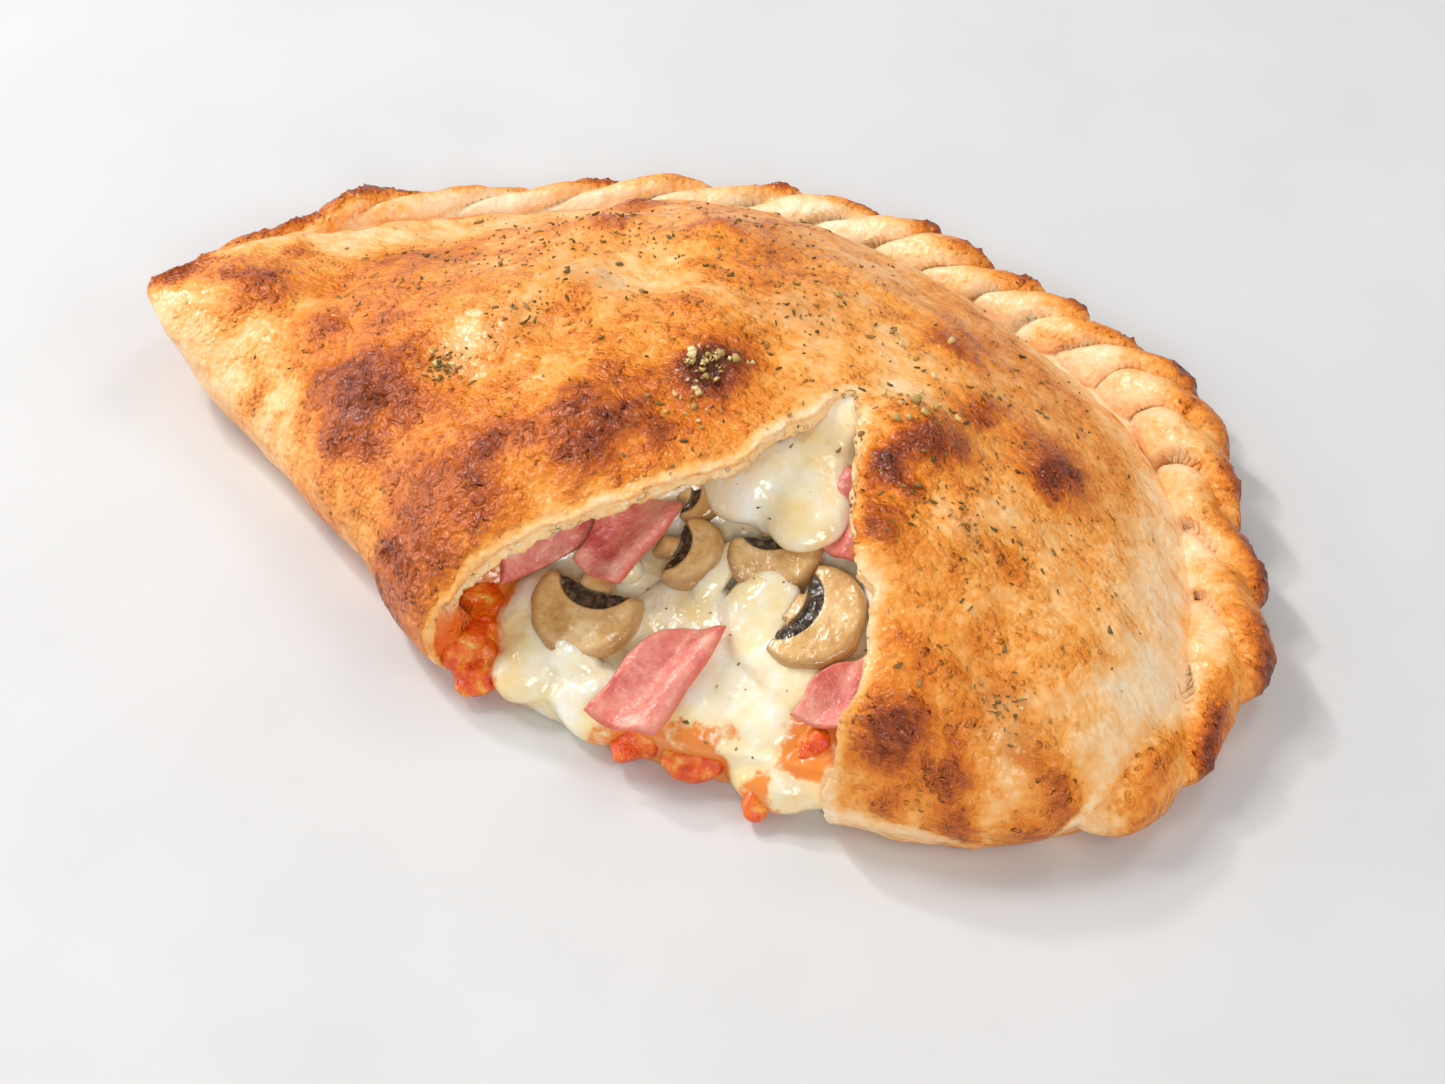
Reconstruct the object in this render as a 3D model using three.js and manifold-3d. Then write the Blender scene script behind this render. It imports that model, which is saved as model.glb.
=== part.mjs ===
// A calzone: a baked, folded pizza with a twisted rim, torn open at its fold so that the filling spills out.
// Millimetres. X runs along the fold from the pointed end, Y from the fold to the twisted rim, Z up.
// The origin is on the surface it rests on, under the middle of its box.
import * as THREE from 'three';
import { mergeVertices } from 'three/addons/utils/BufferGeometryUtils.js';
import Module from 'manifold-3d';

const wasm = await Module();
wasm.setup();

// ---------- driving dimensions ----------
const GAP = 0.4; // clearance between neighbouring pieces
const FINEST = 0.03; // shorter edges than this are closed up after a cut
const BOX_MIDDLE = [-3.05, -0.29]; // middle of the whole box in the coordinates used below

// Body: the widest line of the closed pocket, seen from above
const POLE = [2, -14];
const BODY_OUTLINE = [
  [-144, -56], [-126, -65], [-103, -69], [-74, -77], [-44, -86], [-15, -97], [18, -96], [50, -90],
  [80, -81], [106, -70], [124, -57], [133, -40], [134, -20], [128, 2], [113, 26], [95, 47],
  [72, 60], [44, 71], [14, 77], [-16, 78], [-42, 75], [-66, 65], [-88, 46], [-109, 22],
  [-125, -6], [-137, -33],
];
const CREST = 54; // height of the dome
const FOLD_HEIGHT = 13; // height of the widest line
const FOLD_INSET = 10; // how far the underside is drawn in below it
const TIP_LIFT = 13; // the pointed end stands clear of the table
const TIP_DROP = 34; // how much lower the dome is there
const END_DROP = 8; // how much lower the dome is at the broad end
// The dome's profile before the pole and behind it
const FRONT_PROFILE = { fullness: 2.5, steepness: 0.55 };
const BACK_PROFILE = { fullness: 2.1, steepness: 0.88 };

// Blisters and hollows of the baked top: x, y, radius, height
const BLISTERS = [
  [-65, -63, 14, 4], [-121, -43, 12, 3], [-93, -16, 12, 3], [-22, -80, 14, 3], [-10, -57, 16, 3.5],
  [-70, 44, 9, 2.5], [-58, 21, 8, 2], [-31, 32, 8, 2], [7, -21, 10, 2], [56, -6, 14, 4],
  [66, -34, 8, 2.5], [80, 13, 9, 3], [40, 31, 8, 2], [59, 19, 7, 1.5], [89, -66, 11, 3.5],
  [107, -62, 10, 3], [124, -48, 9, 2], [120, -30, 7, 1.5], [89, -50, 9, 1.5], [-94, -46, 7, 2],
  [-43, -47, 11, -4], [-31, -27, 10, -3.5], [-31, 0, 10, -3], [104, -45, 9, -2], [-104, -30, 8, -2],
  [20, 8, 10, -1.5],
];

// Twisted rim: x, y and half-width along its centre line, from the broad end round to the tip
const RIM_LINE = [
  [118, -49, 5], [131, -35, 9], [133, -15, 9], [131, 5, 9.5], [121, 26, 9.5], [105, 44, 9.5], [91, 61, 10],
  [68, 78, 9.5], [41, 84, 8.5], [14, 86.5, 8.5], [-14, 87, 8.5], [-38, 84, 8.5], [-63, 73, 7.5], [-85, 60, 7],
  [-105, 41, 6], [-121, 19, 6], [-131, 3, 6], [-134, -13, 5], [-140, -31, 5], [-144, -50, 5],
];
const FLANGE = 9; // thickness of the flat dough between the body and the rim
// Distance of each pinch along the rim
const PINCHES = [
  0, 20, 46, 72, 98, 122, 142, 160, 176, 192, 206, 222, 240, 258, 280, 304, 330, 356, 384, 412, 445, 480,
];
const RIM_SLANT = 0.55; // how far a fold leans along the rim between its inner and outer edge, in pinches
const RIM_RELIEF = 0.32; // depth of the valleys between folds, as a share of the half-width
const RIM_SQUASH = 0.95; // height of the rim as a share of its width

// Torn opening, seen from above: down the left lip, out past the fold, and back up the right edge
const LEFT_LIP = [
  [36, -4], [34, -18], [30, -40], [25, -47], [19, -55], [12, -64], [5, -73], [-2, -81], [-8, -89], [-11, -94],
];
const MOUTH_CORNERS = [[-14, -99], [-20, -118], [100, -114], [87, -84]];
const RIGHT_LIP = [
  [84, -75], [83, -65], [80, -59], [76, -53], [74, -48], [67, -44], [59, -36], [53, -28], [46, -16], [41, -8],
];
const TEAR_STEP = 5; // spacing of the ragged points along a lip
const TEAR_DEPTH = 0.9; // how ragged they are
const WELL_ABOVE = CREST + 30; // a height clear of everything

// Inside
const CRUST = 4; // thickness of the dough over the filling
const CAVITY_SHARE = 0.92; // the cavity's outline as a share of the body's
const SAUCE_DEPTH = 3.2; // layer of sauce under the cheese
const BASE_FRONT = -72; // the lower crust ends here inside the opening
const HOLLOW_REACH = 13; // how far the hollow runs in under the left lip
const RIGHT_HOLLOW_REACH = 3; // and under the right one
// The filling's surface in the opening, and how far the plain fill lies below it
const SLOPE = { height: 9, rise: 0.38, from: -92, sunk: 2 };

// Cheese lobes: x, y, z of the centre and half-sizes along x, along the slope and across it
const LOBES = [
  [6, -85, 8.5, 8.5, 9.5, 6], [25, -83, 7, 12, 9, 6.5], [46, -76, 11, 13, 9, 6], [68, -75, 6.5, 12, 9, 6],
  [58, -68, 15, 14, 9, 5], [36, -63, 19, 17, 14, 3.5], [47, -52, 26, 9, 9, 4], [37, -24, 37, 13, 15, 8],
  [34, -11, 44, 10, 10, 6], [27, -28, 38.5, 12, 14, 7], [0, -76, 12.5, 9, 10, 5], [64.5, -61, 20.5, 9, 8, 4],
  [79, -70, 9, 8, 8, 6], [76, -63, 14.5, 8, 10, 5],
];
// Lumps of tomato sauce pushed out along the foot of the opening: x, y, z and half-sizes
const SAUCE_LUMPS = [
  [-10, -80, 7, 6.5, 15, 7], [-17, -78, 8, 6, 12, 7], [-3, -84, 4.8, 7, 14, 5], [37, -79, 4.5, 6, 13, 5.5],
  [50, -77, 5, 9, 10.5, 5.5], [69, -77, 3.5, 4, 10.5, 3.5], [74.5, -68, 12, 5, 6.5, 6.5],
];

// Slices of ham: four corners, upper left, upper right, lower right, lower left; ripple height
const HAM = {
  ham_top: { corners: [[2, -49, 32], [19, -43, 35], [17, -67, 26], [4, -67, 26]], ripple: 0.8 },
  ham_inner: { corners: [[-14, -70, 27], [0, -51, 34], [3, -59, 25], [-9, -78, 18]], ripple: 1.2 },
  ham_front: { corners: [[30, -70, 21.5], [45, -60, 26], [46, -90, 15], [28, -93, 14]], ripple: 1.2 },
  ham_right_upper: { corners: [[45, -17, 44], [57, -24, 43], [60, -36, 36], [50, -36, 34]], ripple: 0.8 },
  ham_right_lower: { corners: [[69, -58, 25], [77, -48, 30], [84, -66, 22], [68, -70, 20]], ripple: 1.2 },
};
const HAM_THICKNESS = 2.2;
const HAM_BULGE = 1.2; // how far the sides of a slice swing in and out

// Slices of mushroom: centre, turn in the filling's slope, width of the cap, extra tilt,
// share of the stalk kept, and how far towards the crown the gills lie, in half-widths
const MUSHROOMS = {
  mushroom_left: { centre: [12, -71, 20], turn: -80, width: 28, tilt: 4, stalk: 0.3, gills: -0.28 },
  mushroom_right: { centre: [58.5, -49.5, 28.5], turn: 4, width: 27, tilt: -2, stalk: 0, gills: -0.2 },
  mushroom_upper: { centre: [41.5, -40, 31], turn: -55, width: 23, tilt: -3, stalk: 0, gills: -0.3 },
  mushroom_back: { centre: [24, -50, 27.5], turn: 12, width: 19, tilt: 0, stalk: 0.35, gills: -0.25 },
  mushroom_edge: { centre: [17, -38, 32], turn: 20, width: 14, tilt: 8, stalk: 0.2, gills: -0.1 },
};
const MUSHROOM_THICKNESS = 4;
const GILL_DEPTH = 0.9;

// Flakes of dried herb on the crust
const HERB_COUNT = 32;
const HERB_CLUSTERS = [
  [-41, -49, 9], [7, -22, 8], [8, 9, 14], [104, -45, 9], [-60, 10, 30], [70, -20, 30], [20, -20, 55],
];
const HERB_SIZE = 1.7;
const HERB_THICKNESS = 1.1;
const HERB_CLEARANCE = 4; // distance of the flakes from the torn edge

// How finely the closed forms are faceted
const BODY_SIDES = 80;
const BODY_RINGS = 14;
const CAVITY_SIDES = 24;
const CAVITY_RINGS = 4;
const RIM_STEPS = 100;
const RIM_SIDES = 8;
const BLOB_SIDES = 10;
const BLOB_ROWS = 6;
const HAM_COLUMNS = 5;
const HAM_ROWS = 4;

// ---------- small helpers ----------
function smoothstep(from, to, value) {
  const t = THREE.MathUtils.clamp((value - from) / (to - from), 0, 1);
  return t * t * (3 - 2 * t);
}

function seededRandom(seed) {
  let state = seed;
  return () => {
    state = (state * 1664525 + 1013904223) % 4294967296;
    return state / 4294967296;
  };
}

function curveThrough(points, closed) {
  const vectors = points.map(([x, y, z = 0]) => new THREE.Vector3(x, y, z));
  return new THREE.CatmullRomCurve3(vectors, closed, 'catmullrom', 0.5);
}

function closedGeometry(vertices, triangles) {
  const geometry = new THREE.BufferGeometry();
  geometry.setAttribute('position', new THREE.Float32BufferAttribute(vertices.flat(), 3));
  geometry.setIndex(triangles.flat());
  return geometry;
}

function toSolid(geometry) {
  const bare = geometry.clone();
  bare.deleteAttribute('normal');
  bare.deleteAttribute('uv');
  const merged = mergeVertices(bare, 1e-4);
  const vertProperties = new Float32Array(merged.attributes.position.array);
  const triVerts = new Uint32Array(merged.index.array);
  return new wasm.Manifold(new wasm.Mesh({ numProp: 3, vertProperties, triVerts }));
}

function toGeometry(solid) {
  const mesh = solid.getMesh();
  const geometry = new THREE.BufferGeometry();
  geometry.setAttribute('position', new THREE.BufferAttribute(mesh.vertProperties, 3));
  geometry.setIndex(new THREE.BufferAttribute(mesh.triVerts, 1));
  return geometry;
}

// The same closed form with every corner moved out along its normal
function swollen(geometry, amount) {
  const bare = geometry.clone();
  bare.deleteAttribute('normal');
  bare.deleteAttribute('uv');
  const merged = mergeVertices(bare, 1e-4);
  merged.computeVertexNormals();
  const position = merged.attributes.position;
  const normal = merged.attributes.normal;
  for (let i = 0; i < position.count; i += 1) {
    position.setXYZ(
      i,
      position.getX(i) + amount * normal.getX(i),
      position.getY(i) + amount * normal.getY(i),
      position.getZ(i) + amount * normal.getZ(i),
    );
  }
  return merged;
}

function joined(solids) {
  return solids.reduce((whole, next) => whole.add(next));
}

// The largest connected piece, without the crumbs that a cut leaves
function largest(solid) {
  return solid.simplify(FINEST).decompose().sort((a, b) => b.volume() - a.volume())[0];
}

// ---------- the body's form ----------
// Directions and distances from the pole along a closed outline, in order of direction
function polarTable(points) {
  return curveThrough(points, true).getPoints(720).map((point) => {
    const dx = point.x - POLE[0];
    const dy = point.y - POLE[1];
    return [Math.atan2(dy, dx), Math.hypot(dx, dy)];
  }).sort((a, b) => a[0] - b[0]);
}

// Distance from the pole to an outline in one direction
function tableReach(table, angle) {
  const last = table.length - 1;
  if (angle <= table[0][0] || angle >= table[last][0]) {
    return table[0][1];
  }
  let low = 0;
  let high = last;
  while (high - low > 1) {
    const middle = (low + high) >> 1;
    if (table[middle][0] <= angle) {
      low = middle;
    } else {
      high = middle;
    }
  }
  return THREE.MathUtils.mapLinear(angle, table[low][0], table[high][0], table[low][1], table[high][1]);
}

const bodyTable = polarTable(BODY_OUTLINE);
const flangeTable = polarTable([...RIM_LINE.map(([x, y]) => [x, y]), [-90, -55], [0, -70], [70, -60]]);

// Distance from the pole to the body's widest line
function reach(angle) {
  return tableReach(bodyTable, angle);
}

function lift(x) {
  return TIP_LIFT * smoothstep(-92, -150, x);
}

function crest(x) {
  return CREST - TIP_DROP * smoothstep(-30, -160, x) - END_DROP * smoothstep(70, 150, x);
}

// How far out a place is: 0 at the pole, 1 on the widest line
function shareOfReach(x, y) {
  const dx = x - POLE[0];
  const dy = y - POLE[1];
  return Math.min(Math.hypot(dx, dy) / reach(Math.atan2(dy, dx)), 1);
}

// Height of the smooth dome over a place
function smoothDome(x, y) {
  const back = smoothstep(-0.35, 0.45, Math.sin(Math.atan2(y - POLE[1], x - POLE[0])));
  const fullness = THREE.MathUtils.lerp(FRONT_PROFILE.fullness, BACK_PROFILE.fullness, back);
  const steepness = THREE.MathUtils.lerp(FRONT_PROFILE.steepness, BACK_PROFILE.steepness, back);
  const rise = Math.max(1 - shareOfReach(x, y) ** fullness, 0) ** steepness;
  return FOLD_HEIGHT + lift(x) + (crest(x) - FOLD_HEIGHT) * rise;
}

// The same with its blisters and hollows, which fade out at the edge
function dome(x, y) {
  const fade = 1 - shareOfReach(x, y) ** 8;
  let height = smoothDome(x, y);
  for (const [bx, by, radius, rise] of BLISTERS) {
    height += rise * fade * Math.exp(-((x - bx) ** 2 + (y - by) ** 2) / radius ** 2);
  }
  return height;
}

// A closed form from rings round the pole; each ring gives its distance and height for a direction
function ringSolid(sides, rings, topHeight, bottomHeight) {
  const vertices = [];
  const triangles = [];
  for (const ring of rings) {
    for (let i = 0; i < sides; i += 1) {
      const angle = (i / sides) * 2 * Math.PI - Math.PI;
      const distance = ring.distance(angle);
      const x = POLE[0] + distance * Math.cos(angle);
      const y = POLE[1] + distance * Math.sin(angle);
      vertices.push([x, y, ring.height(x, y)]);
    }
  }
  const top = vertices.push([POLE[0], POLE[1], topHeight]) - 1;
  const bottom = vertices.push([POLE[0], POLE[1], bottomHeight]) - 1;
  for (let i = 0; i < sides; i += 1) {
    const next = (i + 1) % sides;
    triangles.push([top, i, next]);
    for (let r = 0; r + 1 < rings.length; r += 1) {
      const a = r * sides + i;
      const b = r * sides + next;
      triangles.push([a, a + sides, b + sides], [a, b + sides, b]);
    }
    const lastRow = (rings.length - 1) * sides;
    triangles.push([bottom, lastRow + next, lastRow + i]);
  }
  return closedGeometry(vertices, triangles);
}

function bodyGeometry() {
  const rings = [];
  for (let r = 1; r <= BODY_RINGS; r += 1) {
    const share = Math.sin((r / BODY_RINGS) * Math.PI / 2) ** 0.9;
    rings.push({ distance: (angle) => share * reach(angle), height: dome });
  }
  for (const bend of [0.4, 0.75, 1]) {
    const turn = bend * Math.PI / 2;
    rings.push({
      distance: (angle) => reach(angle) - FOLD_INSET * (1 - Math.cos(turn)),
      height: (x) => lift(x) + FOLD_HEIGHT * (1 - Math.sin(turn)),
    });
  }
  rings.push({ distance: (angle) => 0.5 * (reach(angle) - FOLD_INSET), height: lift });
  return ringSolid(BODY_SIDES, rings, dome(...POLE), 0);
}

// Flat dough that joins the body to its rim
function flangeGeometry() {
  const ring = (share, thickness) => ({
    distance: (angle) => share * tableReach(flangeTable, angle),
    height: (x) => lift(x) + thickness,
  });
  return ringSolid(BODY_SIDES, [ring(0.8, FLANGE), ring(1, FLANGE), ring(1, 1), ring(0.8, 1)], FLANGE, 1);
}

// The space inside the crust, shrunk all round by a clearance; bottom is its floor
function cavityGeometry(clearance, bottom) {
  const rings = [];
  const distance = (share) => (angle) => share * (CAVITY_SHARE * reach(angle) - clearance);
  const ceiling = (x, y) => smoothDome(x, y) - CRUST - clearance;
  for (let r = 1; r <= CAVITY_RINGS; r += 1) {
    rings.push({ distance: distance(Math.sin((r / CAVITY_RINGS) * Math.PI / 2)), height: ceiling });
  }
  rings.push({ distance: distance(1), height: (x) => bottom + lift(x) });
  rings.push({ distance: distance(0.6), height: (x) => bottom + lift(x) });
  return ringSolid(CAVITY_SIDES, rings, ceiling(...POLE), bottom);
}

// ---------- the rim ----------
function rimGeometry() {
  const points = curveThrough(RIM_LINE, false).getPoints(RIM_STEPS - 1);
  const vertices = [];
  const triangles = [];
  let along = 0;
  points.forEach((point, i) => {
    const before = points[Math.max(i - 1, 0)];
    const after = points[Math.min(i + 1, points.length - 1)];
    const heading = new THREE.Vector2(after.x - before.x, after.y - before.y).normalize();
    if (i > 0) {
      along += Math.hypot(point.x - before.x, point.y - before.y);
    }
    const half = point.z;
    const pinch = pinchCount(along);
    for (let side = 0; side < RIM_SIDES; side += 1) {
      const angle = (side / RIM_SIDES) * 2 * Math.PI;
      const turn = THREE.MathUtils.euclideanModulo(pinch + RIM_SLANT * Math.cos(angle), 1);
      const fold = Math.sin(Math.PI * turn ** 0.6) ** 0.7;
      const size = half * (1 + RIM_RELIEF * (fold - 0.6));
      vertices.push([
        point.x + heading.y * size * Math.cos(angle),
        point.y - heading.x * size * Math.cos(angle),
        lift(point.x) + Math.max(RIM_SQUASH * (half + size * Math.sin(angle)), 0),
      ]);
    }
  });
  for (let i = 0; i + 1 < points.length; i += 1) {
    for (let side = 0; side < RIM_SIDES; side += 1) {
      const next = (side + 1) % RIM_SIDES;
      const a = i * RIM_SIDES;
      const b = a + RIM_SIDES;
      triangles.push([a + side, b + next, a + next], [a + side, b + side, b + next]);
    }
  }
  for (const [row, flip] of [[0, true], [points.length - 1, false]]) {
    const ring = vertices.slice(row * RIM_SIDES, (row + 1) * RIM_SIDES);
    const middle = [0, 1, 2].map((axis) => ring.reduce((sum, v) => sum + v[axis], 0) / RIM_SIDES);
    const centre = vertices.push(middle) - 1;
    for (let side = 0; side < RIM_SIDES; side += 1) {
      const a = row * RIM_SIDES + side;
      const b = row * RIM_SIDES + (side + 1) % RIM_SIDES;
      triangles.push(flip ? [centre, a, b] : [centre, b, a]);
    }
  }
  return closedGeometry(vertices, triangles);
}

function pinchCount(along) {
  let i = 0;
  while (i + 2 < PINCHES.length && PINCHES[i + 1] < along) {
    i += 1;
  }
  return i + (along - PINCHES[i]) / (PINCHES[i + 1] - PINCHES[i]);
}

// ---------- the opening ----------
// Ragged points along a lip
function tornLine(points, random) {
  const ragged = [];
  for (let i = 0; i + 1 < points.length; i += 1) {
    const start = new THREE.Vector2(...points[i]);
    const end = new THREE.Vector2(...points[i + 1]);
    const across = new THREE.Vector2(start.y - end.y, end.x - start.x).normalize();
    const count = Math.max(1, Math.round(start.distanceTo(end) / TEAR_STEP));
    for (let k = 0; k < count; k += 1) {
      const point = start.clone().lerp(end, k / count);
      point.addScaledVector(across, TEAR_DEPTH * (2 * random() - 1));
      ragged.push([point.x, point.y]);
    }
  }
  ragged.push(points[points.length - 1]);
  return ragged;
}

function windowOutline() {
  const random = seededRandom(7);
  return [...tornLine(LEFT_LIP, random), ...MOUTH_CORNERS, ...tornLine(RIGHT_LIP, random)];
}

// A counter-clockwise outline moved out by an amount for each point, which may be negative
function offsetOutline(points, amountAt) {
  return points.map((point, i) => {
    const before = points[(i + points.length - 1) % points.length];
    const after = points[(i + 1) % points.length];
    const along = new THREE.Vector2(after[0] - before[0], after[1] - before[1]).normalize();
    return [point[0] + amountAt(i) * along.y, point[1] - amountAt(i) * along.x];
  });
}

function prism(outline, bottom, top) {
  const shape = new THREE.Shape(outline.map(([x, y]) => new THREE.Vector2(x, y)));
  const geometry = new THREE.ExtrudeGeometry(shape, { depth: top - bottom, bevelEnabled: false });
  return geometry.translate(0, 0, bottom);
}

function slopeHeight(y) {
  return SLOPE.height + SLOPE.rise * (y - SLOPE.from);
}

// The empty space over the filling, with a floor that follows the slope
function hollowGeometry() {
  const mouthStart = LEFT_LIP.length;
  const mouthEnd = mouthStart + MOUTH_CORNERS.length;
  const outline = offsetOutline([...LEFT_LIP, ...MOUTH_CORNERS, ...RIGHT_LIP], (i) => {
    if (i < mouthStart) {
      return HOLLOW_REACH;
    }
    return i < mouthEnd ? 0 : RIGHT_HOLLOW_REACH;
  });
  const geometry = prism(outline, 0, 1);
  const position = geometry.attributes.position;
  for (let i = 0; i < position.count; i += 1) {
    const floor = position.getZ(i) < 0.5;
    position.setZ(i, floor ? slopeHeight(position.getY(i)) - SLOPE.sunk : WELL_ABOVE);
  }
  return geometry;
}

function frontBlock(from, bottom, top) {
  const depth = 60;
  return new THREE.BoxGeometry(300, depth, top - bottom).translate(0, from - depth / 2, (top + bottom) / 2);
}

// The part of an outline's prism in front of the lower crust, from under the table up to a height
function mouthSolid(outline, front, top) {
  return toSolid(prism(outline, -CRUST, top)).intersect(toSolid(frontBlock(front, -CRUST, top)));
}

function crustSolid(outline) {
  const whole = joined([bodyGeometry(), flangeGeometry(), rimGeometry()].map(toSolid));
  const cavity = toSolid(cavityGeometry(0, CRUST));
  const opening = toSolid(prism(outline, CRUST, WELL_ABOVE));
  return whole.subtract(cavity).subtract(opening).subtract(mouthSolid(outline, BASE_FRONT, 2 * CRUST));
}

// ---------- herbs ----------
function flakeGeometry(random, size) {
  const geometry = new THREE.CylinderGeometry(size * 0.6, size, HERB_THICKNESS, 4, 1);
  geometry.rotateX(Math.PI / 2);
  geometry.scale(1, 0.45 + 0.4 * random(), 1);
  geometry.rotateZ(random() * Math.PI);
  return geometry;
}

// Flakes half sunk in the crust, gathered about the clusters and clear of the opening
function herbSolids(clearOf) {
  const random = seededRandom(41);
  const flakes = [];
  const area = new THREE.Shape(clearOf.map(([x, y]) => new THREE.Vector2(x, y))).getPoints();
  while (flakes.length < HERB_COUNT) {
    const [cx, cy, spread] = HERB_CLUSTERS[Math.floor(random() * HERB_CLUSTERS.length)];
    const angle = random() * 2 * Math.PI;
    const distance = spread * Math.sqrt(random());
    const x = cx + distance * Math.cos(angle);
    const y = cy + distance * Math.sin(angle);
    const flake = flakeGeometry(random, HERB_SIZE * (0.7 + 0.6 * random()));
    if (shareOfReach(x, y) < 0.85 && !contains(area, x, y)) {
      flakes.push(toSolid(flake.translate(x, y, dome(x, y) + 0.25)));
    }
  }
  return flakes;
}

function contains(outline, x, y) {
  let inside = false;
  outline.forEach((a, i) => {
    const b = outline[(i + 1) % outline.length];
    if ((a.y > y) !== (b.y > y) && x < ((b.x - a.x) * (y - a.y)) / (b.y - a.y) + a.x) {
      inside = !inside;
    }
  });
  return inside;
}

// ---------- the filling ----------
const slopeAngle = Math.atan(SLOPE.rise);

function blobGeometry([x, y, z, halfX, halfY, halfZ]) {
  const geometry = new THREE.SphereGeometry(1, BLOB_SIDES, BLOB_ROWS);
  geometry.rotateX(Math.PI / 2);
  geometry.scale(halfX, halfY, halfZ);
  if (z > halfZ) {
    geometry.rotateX(slopeAngle);
  }
  geometry.translate(x, y, z);
  const position = geometry.attributes.position;
  for (let i = 0; i < position.count; i += 1) {
    position.setZ(i, Math.max(position.getZ(i), 0));
  }
  return geometry;
}

// A ham slice: a rippled sheet over four corners, with rounded edges
function hamGeometry({ corners, ripple }) {
  const columns = HAM_COLUMNS;
  const rows = HAM_ROWS;
  const vectors = corners.map((corner) => new THREE.Vector3(...corner));
  const [upperLeft, upperRight, lowerRight, lowerLeft] = vectors;
  const across = upperRight.clone().sub(upperLeft).normalize();
  const normal = lowerLeft.clone().sub(upperLeft).cross(across).normalize();
  const middle = [];
  for (let j = 0; j <= rows; j += 1) {
    for (let i = 0; i <= columns; i += 1) {
      const u = i / columns;
      const v = j / rows;
      const upper = upperLeft.clone().lerp(upperRight, u);
      const lower = lowerLeft.clone().lerp(lowerRight, u);
      const bulge = HAM_BULGE * Math.sin(2.3 * Math.PI * v) * (u - 0.5);
      const wave = ripple * Math.sin(2.6 * Math.PI * u + 1.7 * v) + 0.6 * ripple * Math.sin(2 * Math.PI * v);
      middle.push(upper.lerp(lower, v).addScaledVector(across, bulge).addScaledVector(normal, wave));
    }
  }
  const half = HAM_THICKNESS / 2;
  const top = middle.map((point) => point.clone().addScaledVector(normal, half).toArray());
  const base = middle.map((point) => point.clone().addScaledVector(normal, -half).toArray());
  const triangles = [];
  const width = columns + 1;
  const under = top.length;
  for (let j = 0; j < rows; j += 1) {
    for (let i = 0; i < columns; i += 1) {
      const a = j * width + i;
      const [b, c, d] = [a + 1, a + width + 1, a + width];
      triangles.push([a, d, c], [a, c, b]);
      triangles.push([under + a, under + c, under + d], [under + a, under + b, under + c]);
    }
  }
  const edge = sheetEdge(columns, rows);
  edge.forEach((a, i) => {
    const b = edge[(i + 1) % edge.length];
    triangles.push([a, under + b, under + a], [a, b, under + b]);
  });
  return closedGeometry([...top, ...base], triangles);
}

// Numbers of the grid points round a sheet, in the order that leaves its walls facing out
function sheetEdge(columns, rows) {
  const width = columns + 1;
  const edge = [];
  for (let i = 0; i < columns; i += 1) {
    edge.push(i);
  }
  for (let j = 0; j < rows; j += 1) {
    edge.push(j * width + columns);
  }
  for (let i = columns; i > 0; i -= 1) {
    edge.push(rows * width + i);
  }
  for (let j = rows; j > 0; j -= 1) {
    edge.push(j * width);
  }
  return edge;
}

// Half outline of a mushroom cut down the middle, crown towards +x: cap, gill hollows and stalk
function mushroomShape(width, stalk) {
  const half = width / 2;
  const at = (x, y) => [x * half, y * half];
  const shape = new THREE.Shape();
  shape.moveTo(...at(-0.35, -0.86));
  shape.bezierCurveTo(...at(0.1, -1.12), ...at(0.95, -0.8), ...at(0.95, 0));
  shape.bezierCurveTo(...at(0.95, 0.8), ...at(0.1, 1.12), ...at(-0.35, 0.86));
  shape.quadraticCurveTo(...at(-0.4, 0.55), ...at(-0.3, 0.3));
  shape.lineTo(...at(-0.4 - stalk, 0.26));
  shape.lineTo(...at(-0.4 - stalk, -0.26));
  shape.lineTo(...at(-0.3, -0.3));
  shape.quadraticCurveTo(...at(-0.4, -0.55), ...at(-0.35, -0.86));
  return shape;
}

// The crescent of gills inside the cap, which lies a little lower than the flesh
function gillShape(width, shift) {
  const half = width / 2;
  const at = (x, y) => [(x + shift) * half, y * half];
  const shape = new THREE.Shape();
  shape.moveTo(...at(-0.6, -0.75));
  shape.bezierCurveTo(...at(0.2, -0.75), ...at(0.35, -0.3), ...at(0.35, 0));
  shape.bezierCurveTo(...at(0.35, 0.3), ...at(0.2, 0.75), ...at(-0.6, 0.75));
  shape.bezierCurveTo(...at(-0.1, 0.55), ...at(0.05, 0.3), ...at(0.05, 0));
  shape.bezierCurveTo(...at(0.05, -0.3), ...at(-0.1, -0.55), ...at(-0.6, -0.75));
  return shape;
}

function placeMushroom(geometry, { centre, turn, tilt }) {
  geometry.rotateZ(THREE.MathUtils.degToRad(turn));
  geometry.rotateX(slopeAngle + THREE.MathUtils.degToRad(tilt));
  return geometry.translate(...centre);
}

function mushroomGeometry(slice) {
  const flesh = new THREE.ExtrudeGeometry(mushroomShape(slice.width, slice.stalk), {
    depth: MUSHROOM_THICKNESS,
    curveSegments: 4,
    bevelEnabled: false,
  });
  flesh.translate(0, 0, -MUSHROOM_THICKNESS / 2);
  const gills = new THREE.ExtrudeGeometry(gillShape(slice.width, slice.gills), {
    depth: 3,
    curveSegments: 3,
    bevelEnabled: false,
  });
  gills.translate(0, 0, MUSHROOM_THICKNESS / 2 - GILL_DEPTH);
  const cut = toSolid(placeMushroom(flesh, slice)).subtract(toSolid(placeMushroom(gills, slice)));
  return toGeometry(cut);
}

// The lumps of sauce that show, out from the layer's front edge
function sauceLumps(region) {
  return joined(SAUCE_LUMPS.map((lump) => toSolid(blobGeometry(lump)))).intersect(region);
}

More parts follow.
